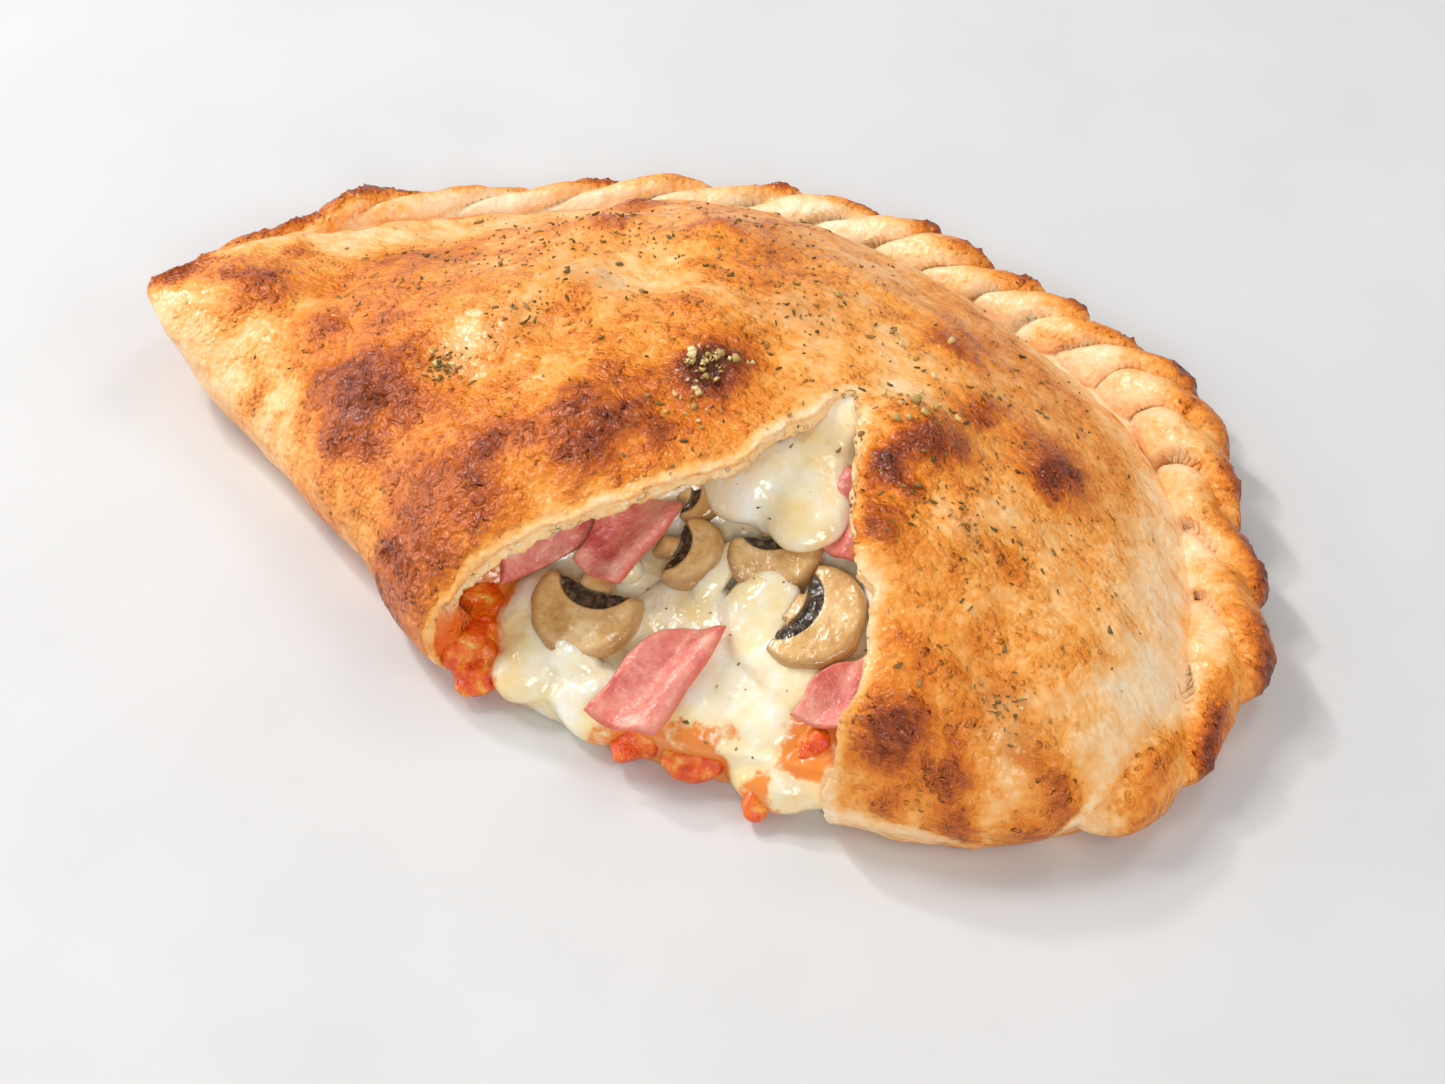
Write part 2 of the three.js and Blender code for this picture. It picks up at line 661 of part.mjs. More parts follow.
// The layer of sauce that runs through the pocket under the cheese
function sauceLayer() {
  const level = new THREE.BoxGeometry(400, 300, 2 * (CRUST + SAUCE_DEPTH));
  const front = frontBlock(BASE_FRONT + 2, 0, CREST);
  return toSolid(cavityGeometry(GAP, CRUST + GAP)).intersect(toSolid(level)).subtract(toSolid(front));
}

function cheeseSolid(region) {
  const bottom = CRUST + SAUCE_DEPTH + GAP;
  const fill = toSolid(cavityGeometry(GAP, bottom)).subtract(toSolid(hollowGeometry()));
  const lobes = LOBES.map((lobe) => toSolid(blobGeometry(lobe)));
  const floor = new THREE.BoxGeometry(400, 300, bottom + 10);
  floor.translate(0, BASE_FRONT - GAP + 150, (bottom + 10) / 2 - 10);
  return fill.add(joined(lobes)).subtract(toSolid(floor)).intersect(region);
}

// ---------- putting it together ----------
const COLOURS = {
  crust: 0xc98a4a,
  cheese: 0xf1e3bd,
  sauce: 0xc2451a,
  ham: 0xcf7f80,
  mushroom: 0xa98c62,
};

function addPiece(group, name, geometry, colour, roughness) {
  const material = new THREE.MeshStandardMaterial({ color: colour, roughness, metalness: 0 });
  const mesh = new THREE.Mesh(geometry.translate(-BOX_MIDDLE[0], -BOX_MIDDLE[1], 0), material);
  mesh.name = name;
  group.add(mesh);
}

function buildCalzone() {
  const group = new THREE.Group();
  const outline = windowOutline();
  const inset = offsetOutline(outline, () => -GAP);
  const region = toSolid(cavityGeometry(GAP, CRUST + GAP))
    .add(toSolid(prism(inset, CRUST + GAP, WELL_ABOVE)))
    .add(mouthSolid(inset, BASE_FRONT - GAP, 2 * CRUST));

  const herbs = herbSolids(offsetOutline(outline, () => HERB_CLEARANCE));
  const crust = joined([crustSolid(outline), ...herbs]);
  addPiece(group, 'crust', toGeometry(largest(crust)), COLOURS.crust, 0.55);

  // Slices lie over one another in this order; each gives way to those before it
  const placed = [];
  const slices = [
    ...Object.entries(HAM).map(([name, slice]) => [name, hamGeometry(slice), COLOURS.ham]),
    ...Object.entries(MUSHROOMS).map(([name, slice]) => [name, mushroomGeometry(slice), COLOURS.mushroom]),
  ];
  for (const [name, geometry, colour] of slices) {
    const whole = toSolid(geometry).intersect(region);
    const solid = largest(placed.reduce((rest, other) => rest.subtract(other), whole));
    placed.push(toSolid(swollen(toGeometry(solid), GAP)));
    addPiece(group, name, toGeometry(solid), colour, 0.4);
  }

  const lumps = placed.reduce((rest, other) => rest.subtract(other), sauceLumps(region));
  addPiece(group, 'sauce', toGeometry(largest(lumps.add(sauceLayer()))), COLOURS.sauce, 0.35);
  placed.push(toSolid(swollen(toGeometry(lumps), GAP)));

  const cheese = largest(placed.reduce((rest, other) => rest.subtract(other), cheeseSolid(region)));
  addPiece(group, 'cheese', toGeometry(cheese), COLOURS.cheese, 0.4);
  return group;
}

export default buildCalzone();
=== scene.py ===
"""A torn calzone: the looks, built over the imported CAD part.

Sizes are millimetres in the coordinates of the CAD source, whose named values are repeated here.
to_row() turns them into metres in the row frame.
"""

import math

import bpy
import numpy as np
import openvdb
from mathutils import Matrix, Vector
from mathutils.bvhtree import BVHTree
from mathutils.geometry import tessellate_polygon
from mathutils.kdtree import KDTree


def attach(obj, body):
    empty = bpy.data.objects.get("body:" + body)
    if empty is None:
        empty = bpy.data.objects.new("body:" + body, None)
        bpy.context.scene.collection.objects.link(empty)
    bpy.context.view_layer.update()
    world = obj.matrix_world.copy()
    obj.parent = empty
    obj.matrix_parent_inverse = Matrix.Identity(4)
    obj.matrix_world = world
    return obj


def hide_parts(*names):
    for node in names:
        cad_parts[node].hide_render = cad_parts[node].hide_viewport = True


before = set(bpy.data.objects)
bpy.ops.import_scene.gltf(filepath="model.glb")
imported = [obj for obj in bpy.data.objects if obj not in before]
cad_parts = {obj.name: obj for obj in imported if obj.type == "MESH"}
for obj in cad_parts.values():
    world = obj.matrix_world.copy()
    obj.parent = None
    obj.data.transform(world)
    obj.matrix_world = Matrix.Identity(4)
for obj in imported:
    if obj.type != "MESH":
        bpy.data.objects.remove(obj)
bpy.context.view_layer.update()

MM_PER_M = 1000

# ---------- named values of the CAD source ----------
BOX_MIDDLE = (-3.05, -0.29)
GAP = 0.4
POLE = (2, -14)
BODY_OUTLINE = [
    (-144, -56), (-126, -65), (-103, -69), (-74, -77), (-44, -86), (-15, -97), (18, -96), (50, -90),
    (80, -81), (106, -70), (124, -57), (133, -40), (134, -20), (128, 2), (113, 26), (95, 47), (72, 60),
    (44, 71), (14, 77), (-16, 78), (-42, 75), (-66, 65), (-88, 46), (-109, 22), (-125, -6), (-137, -33),
]
CREST = 54
FOLD_HEIGHT = 13
FOLD_INSET = 10
TIP_LIFT = 13
TIP_DROP = 34
END_DROP = 8
BLISTERS = [
    (-65, -63, 14, 4), (-121, -43, 12, 3), (-93, -16, 12, 3), (-22, -80, 14, 3), (-10, -57, 16, 3.5),
    (-70, 44, 9, 2.5), (-58, 21, 8, 2), (-31, 32, 8, 2), (7, -21, 10, 2), (56, -6, 14, 4),
    (66, -34, 8, 2.5), (80, 13, 9, 3), (40, 31, 8, 2), (59, 19, 7, 1.5), (89, -66, 11, 3.5),
    (107, -62, 10, 3), (124, -48, 9, 2), (120, -30, 7, 1.5), (89, -50, 9, 1.5), (-94, -46, 7, 2),
    (-43, -47, 11, -4), (-31, -27, 10, -3.5), (-31, 0, 10, -3), (104, -45, 9, -2), (-104, -30, 8, -2),
    (20, 8, 10, -1.5),
]
RIM_LINE = [
    (118, -49, 5), (131, -35, 9), (133, -15, 9), (131, 5, 9.5), (121, 26, 9.5), (105, 44, 9.5),
    (91, 61, 10), (68, 78, 9.5), (41, 84, 8.5), (14, 86.5, 8.5), (-14, 87, 8.5), (-38, 84, 8.5),
    (-63, 73, 7.5), (-85, 60, 7), (-105, 41, 6), (-121, 19, 6), (-131, 3, 6), (-134, -13, 5),
    (-140, -31, 5), (-144, -50, 5),
]
FLANGE = 9
FLANGE_FRONT = [(-90, -55), (0, -70), (70, -60)]
PINCHES = [
    0, 20, 46, 72, 98, 122, 142, 160, 176, 192, 206, 222, 240, 258, 280, 304, 330, 356, 384, 412, 445, 480,
]
RIM_SLANT = 0.55
RIM_RELIEF = 0.32
RIM_SKEW = 0.6
RIM_FLATNESS = 0.95
LEFT_LIP = [
    (36, -4), (34, -18), (30, -40), (25, -47), (19, -55), (12, -64), (5, -73), (-2, -81), (-8, -89),
    (-11, -94),
]
MOUTH_CORNERS = [(-14, -99), (-20, -118), (100, -114), (87, -84)]
RIGHT_LIP = [
    (84, -75), (83, -65), (80, -59), (76, -53), (74, -48), (67, -44), (59, -36), (53, -28), (46, -16),
    (41, -8),
]
CRUST = 4
CAVITY_SHARE = 0.92
SAUCE_DEPTH = 3.2
BASE_FRONT = -72
HOLLOW_REACH = 13
RIGHT_HOLLOW_REACH = 3
SLOPE_HEIGHT, SLOPE_RISE, SLOPE_FROM = 9, 0.38, -92
LOBES = [
    (6, -85, 8.5, 8.5, 9.5, 6), (25, -83, 7, 12, 9, 6.5), (46, -76, 11, 13, 9, 6),
    (68, -75, 6.5, 12, 9, 6), (58, -68, 15, 14, 9, 5), (36, -63, 19, 17, 14, 3.5), (47, -52, 26, 9, 9, 4),
    (37, -24, 37, 13, 15, 8), (34, -11, 44, 10, 10, 6), (27, -28, 38.5, 12, 14, 7),
    (0, -76, 12.5, 9, 10, 5), (64.5, -61, 20.5, 9, 8, 4), (79, -70, 9, 8, 8, 6),
    (76, -63, 14.5, 8, 10, 5),
]
SAUCE_LUMPS = [
    (-10, -80, 7, 6.5, 15, 7), (-17, -78, 8, 6, 12, 7), (-3, -84, 4.8, 7, 14, 5), (37, -79, 4.5, 6, 13, 5.5),
    (50, -77, 5, 9, 10.5, 5.5), (69, -77, 3.5, 4, 10.5, 3.5), (74.5, -68, 12, 5, 6.5, 6.5),
]
HAM = {
    "ham_top": ([(2, -49, 32), (19, -43, 35), (17, -67, 26), (4, -67, 26)], 0.8),
    "ham_inner": ([(-14, -70, 27), (0, -51, 34), (3, -59, 25), (-9, -78, 18)], 1.2),
    "ham_front": ([(30, -70, 21.5), (45, -60, 26), (46, -90, 15), (28, -93, 14)], 1.2),
    "ham_right_upper": ([(45, -17, 44), (57, -24, 43), (60, -36, 36), (50, -36, 34)], 0.8),
    "ham_right_lower": ([(69, -58, 25), (77, -48, 30), (84, -66, 22), (68, -70, 20)], 1.2),
}
HAM_THICKNESS = 2.2
# Centre, turn, width of the cap, extra tilt, share of the stalk kept, how far the gills lie to the crown
MUSHROOMS = {
    "mushroom_left": ((12, -71, 20), -80, 28, 4, 0.3, -0.28),
    "mushroom_right": ((58.5, -49.5, 28.5), 4, 27, -2, 0, -0.2),
    "mushroom_upper": ((41.5, -40, 31), -55, 23, -3, 0, -0.3),
    "mushroom_back": ((24, -50, 27.5), 12, 19, 0, 0.35, -0.25),
    "mushroom_edge": ((17, -38, 32), 20, 14, 8, 0.2, -0.1),
}
MUSHROOM_THICKNESS = 4

# ---------- finer form of the fillings ----------
# Thin films and tongues of cheese that run over the slices: x, y, z and half-sizes, as for the lobes
FILMS = [
    (54, -60, 24, 9, 5, 2.4), (33, -49, 28, 4, 9, 2.2), (61, -63, 22, 9, 4, 2), (31, -76, 17, 3, 8, 3),
    (15, -81, 14, 7, 4, 3), (44, -31, 38, 10, 10, 4), (-2, -70, 15, 6, 7, 3), (8, -58, 22, 9, 5, 3),
]
HAM_ROUNDING = 0.42
HAM_SPREAD = 1.04
MUSHROOM_ROUNDING = 1.1

# ---------- looks of the crust ----------
# Browned places of the top: x, y, radius, strength
BROWNED = [
    (-65, -63, 16, 0.27), (-58, -52, 8, 0.10), (-121, -43, 12, 0.22), (-93, -16, 12, 0.22),
    (-91, -48, 7, 0.20), (-104, -28, 7, 0.12), (-13, -7, 6, 0.10), (-22, -81, 17, 0.24),
    (-19, -63, 9, 0.14), (0, -55, 11, 0.26), (-70, 44, 8, 0.30), (-58, 21, 7, 0.20), (-31, 32, 7, 0.20),
    (7, -21, 9, 0.38), (58, -21, 8, 0.50), (61, -7, 8, 0.42), (60, 10, 6, 0.24), (65, -36, 6.5, 0.48),
    (59, 19, 6, 0.14), (-6, -42, 12, 0.20), (80, 13, 8, 0.42), (40, 31, 8, 0.26), (94, -68, 7.5, 0.44),
    (108, -64, 6, 0.34), (126, -53, 8, 0.18), (120, -47, 6, 0.10), (76, -31, 8, 0.08), (87, -54, 6, 0.16),
    (-124, -23, 5, 0.22), (-87, 1, 6, 0.18), (-36, -22, 6, 0.14), (-17, -23, 7, 0.16),
    (-98, -65, 4.5, 0.18), (-35, -89, 6, 0.22), (113, -23, 5, 0.14), (90, -20, 4.4, 0.14),
    (10, -46, 6, 0.12), (-140, -48, 9, 0.18), (20, -35, 13, 0.12), (-45, -72, 22, 0.10),
    (-108, -5, 16, 0.08), (62, 45, 14, 0.06), (5, -45, 22, 0.12), (-75, -35, 20, 0.06),
    (-10, 18, 17, 0.12), (106, -48, 15, 0.08),
]
# Pale places, where the dough sank or stayed shaded
PALE = [
    (-50, -50, 7, 0.18), (-46, -38, 8, 0.15), (-41, -24, 8, 0.19), (-36, -8, 8, 0.18), (-32, 4, 9, 0.12),
    (-14, -20, 7, 0.08), (-9, 5, 7, 0.12), (8, 9, 10, 0.14), (42, 3, 7, 0.20), (111, -50, 6, 0.14),
    (36, -24, 6, 0.10), (-112, -8, 15, 0.16), (125, -20, 13, 0.10), (118, 8, 12, 0.10),
    (100, 30, 12, 0.08), (-135, -60, 8, 0.10), (-113, -56, 12, 0.16), (-70, 5, 12, 0.06),
    (37, 22, 8, 0.12), (-85, -72, 14, 0.12), (82, -8, 10, 0.06), (100, -76, 10, 0.09),
]
HERB_TOTAL = 900
# Where herb flakes gather: x, y, spread, share
HERB_PLACES = [
    (-49, -50, 4, 0.07), (-41, -27, 9, 0.05), (8, 9, 10, 0.06), (109, -49, 5, 0.05), (79, -21, 2, 0.012),
    (-60, 10, 32, 0.18), (70, -20, 32, 0.18), (15, -25, 50, 0.25), (60, 40, 35, 0.08),
    (-90, -20, 35, 0.08), (-20, 30, 30, 0.10),
]
# Clumps of toasted grains: x, y, spread, number
GRAIN_PLACES = [
    (7, -21, 5, 44), (12, -31, 5, 14), (-48, -48, 4, 4), (50, 0, 7, 20), (28, 20, 20, 6), (109, -49, 5, 3),
]
# Where oil and herbs steeped the dough olive: x, y, radius
STEEPED = [
    (-49, -50, 9), (-43, -32, 8), (106, -48, 7), (8, 10, 9), (115, -51, 5), (79, -21, 4), (-36, -8, 8),
]
# Where flakes lie on the cheese
CHEESE_HERB_PLACES = [(36, -16, 12, 0.4), (45, -62, 26, 0.6)]
CHEESE_HERBS = 40
FLAKE_CORNERS = 6
FLAKE_SINK = 0.1
TEAR_REACH = 5

# ---------- fineness ----------
BODY_SIDES = 760
BODY_RINGS = 140
RIM_STEPS = 900
RIM_SIDES = 44
CAVITY_SIDES = 120
CAVITY_RINGS = 16
WALL_STEP = 0.8
CHEESE_STEP = 0.6
SAUCE_STEP = 0.5
SLICE_STEP = 0.35
HAM_GRID = 44
CURVE_STEPS = 1440
LATTICE = 32

# ---------- seeds ----------
NOISE_SEED = 1000
SCATTER_SEED = 5

# ---------- camera, light and floor ----------
CAMERA_PLACE = (306.42, -398.52, 478.23)
CAMERA_TARGET = (22.09, -34.59, 18)
LENS = 70
# Place in metres, size in metres and watts of each lamp
LIGHTS = {
    "key": ((-1.0, -0.1, 1.25), 0.42, 9.5),
    "spark": ((-1.15, 0.15, 1.0), 0.12, 6.5),
    "top": ((0.1, 0.9, 1.3), 0.5, 3.5),
    "front": ((0.8, -1.0, 0.9), 0.5, 8.5),
    "left": ((-1.25, -0.5, 0.4), 0.7, 7),
    "right": ((1.2, 0.2, 0.9), 0.8, 3),
}
LIGHT_TARGET = (0, 0, 0.02)
SKY_STRENGTH = 0.28
FLOOR_HALF = 2500


# ---------- small helpers ----------
def smoothstep(start, end, value):
    t = np.clip((value - start) / (end - start), 0, 1)
    return t * t * (3 - 2 * t)


def noise(points, size, seed):
    """Smooth noise from -1 to 1, with features of that size in millimetres."""
    lattice = np.random.default_rng(NOISE_SEED + seed).uniform(-1, 1, (LATTICE, LATTICE, LATTICE))
    scaled = np.asarray(points, float) / size + 0.37 * seed
    cell = np.floor(scaled).astype(int)
    part = scaled - cell
    part = part * part * (3 - 2 * part)
    total = 0
    for corner in np.ndindex(2, 2, 2):
        weight = np.prod(np.where(np.array(corner) == 1, part, 1 - part), axis=-1)
        at = (cell + corner) % LATTICE
        total = total + weight * lattice[at[..., 0], at[..., 1], at[..., 2]]
    return total


def ridges(points, size, seed):
    """Narrow crests from 0 to 1 on a smooth ground, for wrinkled skin."""
    return (1 - np.abs(noise(points, size, seed))) ** 4


def curve_through(points, closed, count):
    """Points of the Catmull-Rom curve that the CAD source uses."""
    points = np.array(points, float)
    if closed:
        padded = np.vstack([points[-1], points, points[0], points[1]])
        spans = len(points)
    else:
        padded = np.vstack([2 * points[0] - points[1], points, 2 * points[-1] - points[-2]])
        spans = len(points) - 1
    place = np.linspace(0, spans, count + 1)
    index = np.minimum(place.astype(int), spans - 1)
    t = (place - index)[:, None]
    a, b, c, d = (padded[index + k] for k in range(4))
    return 0.5 * (2 * b + (c - a) * t + (2 * a - 5 * b + 4 * c - d) * t**2 + (3 * b - a - 3 * c + d) * t**3)


def to_row(points):
    """Metres in the row frame."""
    return (np.asarray(points, float) - (*BOX_MIDDLE, 0)) / MM_PER_M


def from_row(points):
    """Millimetres in the source's coordinates."""
    return np.asarray(points, float) * MM_PER_M + (*BOX_MIDDLE, 0)


def mesh_object(name, vertices, *faces):
    """A mesh from arrays of faces, each array with one number of corners."""
    corners = np.concatenate([np.asarray(f).ravel() for f in faces])
    sizes = np.concatenate([np.full(len(f), np.asarray(f).shape[1]) for f in faces])
    mesh = bpy.data.meshes.new(name)
    mesh.vertices.add(len(vertices))
    mesh.vertices.foreach_set("co", to_row(vertices).astype(np.float32).ravel())
    mesh.loops.add(len(corners))
    mesh.loops.foreach_set("vertex_index", corners.astype(np.int32))
    mesh.polygons.add(len(sizes))
    mesh.polygons.foreach_set("loop_start", np.concatenate([[0], np.cumsum(sizes)[:-1]]).astype(np.int32))
    mesh.update(calc_edges=True)
    mesh.validate()
    obj = bpy.data.objects.new(name, mesh)
    bpy.context.scene.collection.objects.link(obj)
    return obj


def combine(target, other, operation):
    """Joins, cuts or intersects two closed meshes; the second one is used up."""
    modifier = target.modifiers.new(operation, "BOOLEAN")
    modifier.operation = operation
    modifier.solver = "MANIFOLD"
    modifier.object = other
    depsgraph = bpy.context.evaluated_depsgraph_get()
    result = bpy.data.meshes.new_from_object(target.evaluated_get(depsgraph))
    target.modifiers.remove(modifier)
    target.data = result
    bpy.data.objects.remove(other)
    return target


def read_vectors(items, field):
    values = np.zeros(len(items) * 3, np.float32)
    items.foreach_get(field, values)
    return values.reshape(-1, 3)


def vertex_places(obj):
    """Places of an object's vertices in millimetres."""
    return from_row(read_vectors(obj.data.vertices, "co"))


def move_vertices(obj, points):
    obj.data.vertices.foreach_set("co", to_row(points).astype(np.float32).ravel())
    obj.data.update()


def relax(obj, weight, rounds):
    """Rounds a mesh off where the weight is high, by drawing vertices to the middle of their neighbours."""
    points = vertex_places(obj)
    edges = np.zeros(len(obj.data.edges) * 2, np.int32)
    obj.data.edges.foreach_get("vertices", edges)
    a, b = edges.reshape(-1, 2).T
    count = np.bincount(edges, minlength=len(points))[:, None]
    for _ in range(rounds):
        total = np.zeros_like(points)
        np.add.at(total, a, points[b])
        np.add.at(total, b, points[a])
        points += weight[:, None] * (total / count - points)
    move_vertices(obj, points)


def store(obj, name, values):
    """Keeps a number for each vertex, which the material reads by name."""
    attribute = obj.data.attributes.new(name, "FLOAT", "POINT")
    attribute.data.foreach_set("value", np.asarray(values, np.float32))


def smooth(obj, sharp_degrees):
    obj.data.shade_smooth()
    obj.data.set_sharp_from_angle(angle=math.radians(sharp_degrees))


def finish_piece(obj, material, slot, *nodes):
    obj.data.materials.clear()
    obj.data.materials.append(material)
    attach(obj, "root")
    if nodes:
        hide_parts(*nodes)
    return obj


# ---------- closed forms from rows of points ----------
def band(count, rows):
    """Indices between rows of points: each point, the next one round, and both one row on."""
    start = np.arange(rows - 1)[:, None] * count
    here = start + np.arange(count)
    following = start + (np.arange(count) + 1) % count
    return here, following, here + count, following + count


def tube_object(name, rows, first_hub, last_hub):
    """A closed form from rows of points, drawn together at a hub at each end."""
    total, count = rows.shape[:2]
    here, following, here_on, following_on = band(count, total)
    quads = np.stack([here, here_on, following_on, following], axis=-1)
    hub = np.full(count, total * count)
    caps = np.vstack([
        np.stack([hub, here[0], following[0]], axis=1),
        np.stack([hub + 1, following_on[-1], here_on[-1]], axis=1),
    ])
    vertices = np.vstack([rows.reshape(-1, 3), first_hub, last_hub])
    return mesh_object(name, vertices, quads.reshape(-1, 4), caps)


# ---------- the body's form ----------
def polar_table(points):
    curve = curve_through(points, True, CURVE_STEPS)[:-1] - POLE
    angles = np.arctan2(curve[:, 1], curve[:, 0])
    order = np.argsort(angles)
    return angles[order], np.hypot(curve[:, 0], curve[:, 1])[order]


BODY_TABLE = polar_table(BODY_OUTLINE)
FLANGE_TABLE = polar_table([p[:2] for p in RIM_LINE] + FLANGE_FRONT)


def reach(angle, table=BODY_TABLE):
    return np.interp(angle, *table, period=2 * math.pi)


def lift(x):
    return TIP_LIFT * smoothstep(-92, -150, x)


def crest(x):
    return CREST - TIP_DROP * smoothstep(-30, -160, x) - END_DROP * smoothstep(70, 150, x)


def spot(x, y, middle_x, middle_y, radius):
    """1 in the middle of a soft round spot, falling to 0 around it."""
    return np.exp(-((x - middle_x) ** 2 + (y - middle_y) ** 2) / radius**2)


def backwards(x, y):
    """1 straight behind the pole, and -1 straight in front of it."""
    return np.sin(np.arctan2(y - POLE[1], x - POLE[0]))


def share_of_reach(x, y):
    dx, dy = x - POLE[0], y - POLE[1]
    return np.minimum(np.hypot(dx, dy) / reach(np.arctan2(dy, dx)), 1)


def smooth_dome(x, y):
    share = share_of_reach(x, y)
    back = smoothstep(-0.35, 0.45, backwards(x, y))
    rise = np.maximum(1 - share ** (2.5 - 0.4 * back), 0) ** (0.55 + 0.33 * back)
    return FOLD_HEIGHT + lift(x) + (crest(x) - FOLD_HEIGHT) * rise


def dome(x, y):
    fade = 1 - share_of_reach(x, y) ** 8
    height = smooth_dome(x, y)
    for *place, rise in BLISTERS:
        height = height + rise * fade * spot(x, y, *place)
    return height


def ring_object(name, sides, rings, top, bottom):
    """A closed form from rings round the pole, each a distance for a direction and a height for a place."""
    angles = np.arange(sides) / sides * 2 * math.pi - math.pi
    rows = []
    for distance, height in rings:
        x = POLE[0] + distance(angles) * np.cos(angles)
        y = POLE[1] + distance(angles) * np.sin(angles)
        rows.append(np.stack([x, y, height(x, y)], axis=1))
    return tube_object(name, np.array(rows), (*POLE, top), (*POLE, bottom))


def body_object():
    rings = []
    for r in range(1, BODY_RINGS + 1):
        share = math.sin(r / BODY_RINGS * math.pi / 2) ** 0.9
        rings.append((lambda a, s=share: s * reach(a), dome))
    for bend in np.linspace(0.08, 1, 14):
        turn = bend * math.pi / 2
        rings.append((
            lambda a, t=turn: reach(a) - FOLD_INSET * (1 - math.cos(t)),
            lambda x, y, t=turn: lift(x) + FOLD_HEIGHT * (1 - math.sin(t)),
        ))
    for share in (0.8, 0.5, 0.2):
        rings.append((lambda a, s=share: s * (reach(a) - FOLD_INSET), lambda x, y: lift(x)))
    return ring_object("body", BODY_SIDES, rings, float(dome(*POLE)), 0)


def flange_object():
    def ring(share, thickness):
        return lambda a: share * reach(a, FLANGE_TABLE), lambda x, y: lift(x) + thickness

    shares = np.linspace(0.8, 1, 12)
    rings = [ring(s, FLANGE) for s in shares] + [ring(s, 1) for s in shares[::-1]]
    return ring_object("flange", BODY_SIDES, rings, FLANGE, 1)


def cavity_object(name, clearance, bottom):
    def ceiling(x, y):
        return smooth_dome(x, y) - CRUST - clearance

    def distance(share):
        return lambda a: share * (CAVITY_SHARE * reach(a) - clearance)

    shares = [math.sin(r / CAVITY_RINGS * math.pi / 2) for r in range(1, CAVITY_RINGS + 1)]
    rings = [(distance(s), ceiling) for s in shares]
    rings += [(distance(s), lambda x, y: bottom + lift(x)) for s in (1, 0.6)]
    return ring_object(name, CAVITY_SIDES, rings, float(ceiling(*POLE)), bottom)


# ---------- the rim ----------
def rim_frame():
    """Centre line, half-width, outward direction and pinch count along the rim."""
    line = curve_through(RIM_LINE, False, RIM_STEPS - 1)
    heading = np.gradient(line[:, :2], axis=0)
    heading /= np.linalg.norm(heading, axis=1)[:, None]
    steps = np.linalg.norm(np.diff(line[:, :2], axis=0), axis=1)
    along = np.concatenate([[0], np.cumsum(steps)])
    pinch = np.interp(along, PINCHES, np.arange(len(PINCHES)))
    return line[:, :2], line[:, 2], np.stack([heading[:, 1], -heading[:, 0]], axis=1), pinch


def rim_object():
    centre, half, outward, pinch = rim_frame()
    angles = np.arange(RIM_SIDES) / RIM_SIDES * 2 * math.pi
    turn = pinch[:, None] + RIM_SLANT * np.cos(angles)
    flat = np.stack(np.broadcast_arrays(pinch[:, None], np.cos(angles), np.sin(angles)), axis=-1)
    turn = (turn + 0.12 * noise(flat, 0.8, 71)) % 1
    wave = np.sin(math.pi * turn**RIM_SKEW)
    inward = smoothstep(0.5, -0.7, np.cos(angles))
    crease = 0.34 * inward * np.exp(-((wave / 0.2) ** 2))
    relief = RIM_RELIEF * (0.5 + 0.5 * smoothstep(-0.9, 0.2, np.cos(angles)))
    lumps = 0.08 * noise(flat * (1, 2, 2), 0.9, 72) + 0.02 * noise(flat * (6, 1, 1), 1.4, 73)
    size = half[:, None] * (1 + relief * (wave - 0.6) - crease + lumps)
    across = size * np.cos(angles)
    x = centre[:, :1] + outward[:, :1] * across
    y = centre[:, 1:] + outward[:, 1:] * across
    z = lift(centre[:, :1]) + np.maximum(RIM_FLATNESS * (half[:, None] + size * np.sin(angles)), 0)
    rows = np.stack([x, y, z], axis=-1)
    return tube_object("rim", rows, rows[0].mean(axis=0), rows[-1].mean(axis=0))


def rim_place(points):
    """Pinch count along the rim, angle round it, and distance from its middle in half-widths."""
    centre, half, outward, pinch = rim_frame()
    thin = slice(None, None, 4)
    offset = points[:, None, :2] - centre[thin][None]
    nearest = np.argmin((offset**2).sum(axis=-1), axis=1)
    offset = offset[np.arange(len(points)), nearest]
    out = (offset * outward[thin][nearest]).sum(axis=1)
    width = half[thin][nearest]
    up = points[:, 2] - lift(centre[thin][nearest, 0]) - RIM_FLATNESS * width
    return pinch[thin][nearest], np.arctan2(up, out), np.hypot(out, up) / width


# ---------- the opening ----------
def resampled(points, step):
    """A closed outline with a point at about every step."""
    points = np.array(points, float)
    pieces = []
    for a, b in zip(points, np.roll(points, -1, axis=0)):
        count = max(1, round(np.linalg.norm(b - a) / step))
        pieces.append(a + (b - a) * (np.arange(count) / count)[:, None])
    return np.vstack(pieces)


def moved_out(points, amounts):
    """A counter-clockwise outline moved out by an amount for each point."""
    along = np.roll(points, -1, axis=0) - np.roll(points, 1, axis=0)
    along /= np.linalg.norm(along, axis=1)[:, None]
    return points + np.stack([along[:, 1], -along[:, 0]], axis=1) * np.asarray(amounts)[:, None]


def wall_object(name, outline, levels, wander=lambda points: 0):
    """A closed prism with many rows in its walls; wander moves the wall points out or in."""
    rows = []
    for level in levels:
        row = np.column_stack([outline, np.full(len(outline), level)])
        shifted = moved_out(outline, np.zeros(len(outline)) + wander(row))
        rows.append(np.column_stack([shifted, row[:, 2]]))
    vertices = np.vstack(rows)
    count = len(outline)
    here, following, here_on, following_on = band(count, len(levels))
    quads = np.stack([here, following, following_on, here_on], axis=-1)
    flat = np.array(tessellate_polygon([[Vector((*p, 0)) for p in outline]]))
    a, b, c = (outline[flat[:, k]] for k in range(3))
    turn = (b[:, 0] - a[:, 0]) * (c[:, 1] - a[:, 1]) - (b[:, 1] - a[:, 1]) * (c[:, 0] - a[:, 0])
    flat[turn < 0] = flat[turn < 0][:, ::-1]
    last = (len(levels) - 1) * count
    return mesh_object(name, vertices, quads.reshape(-1, 4), np.vstack([flat[:, ::-1], flat + last]))


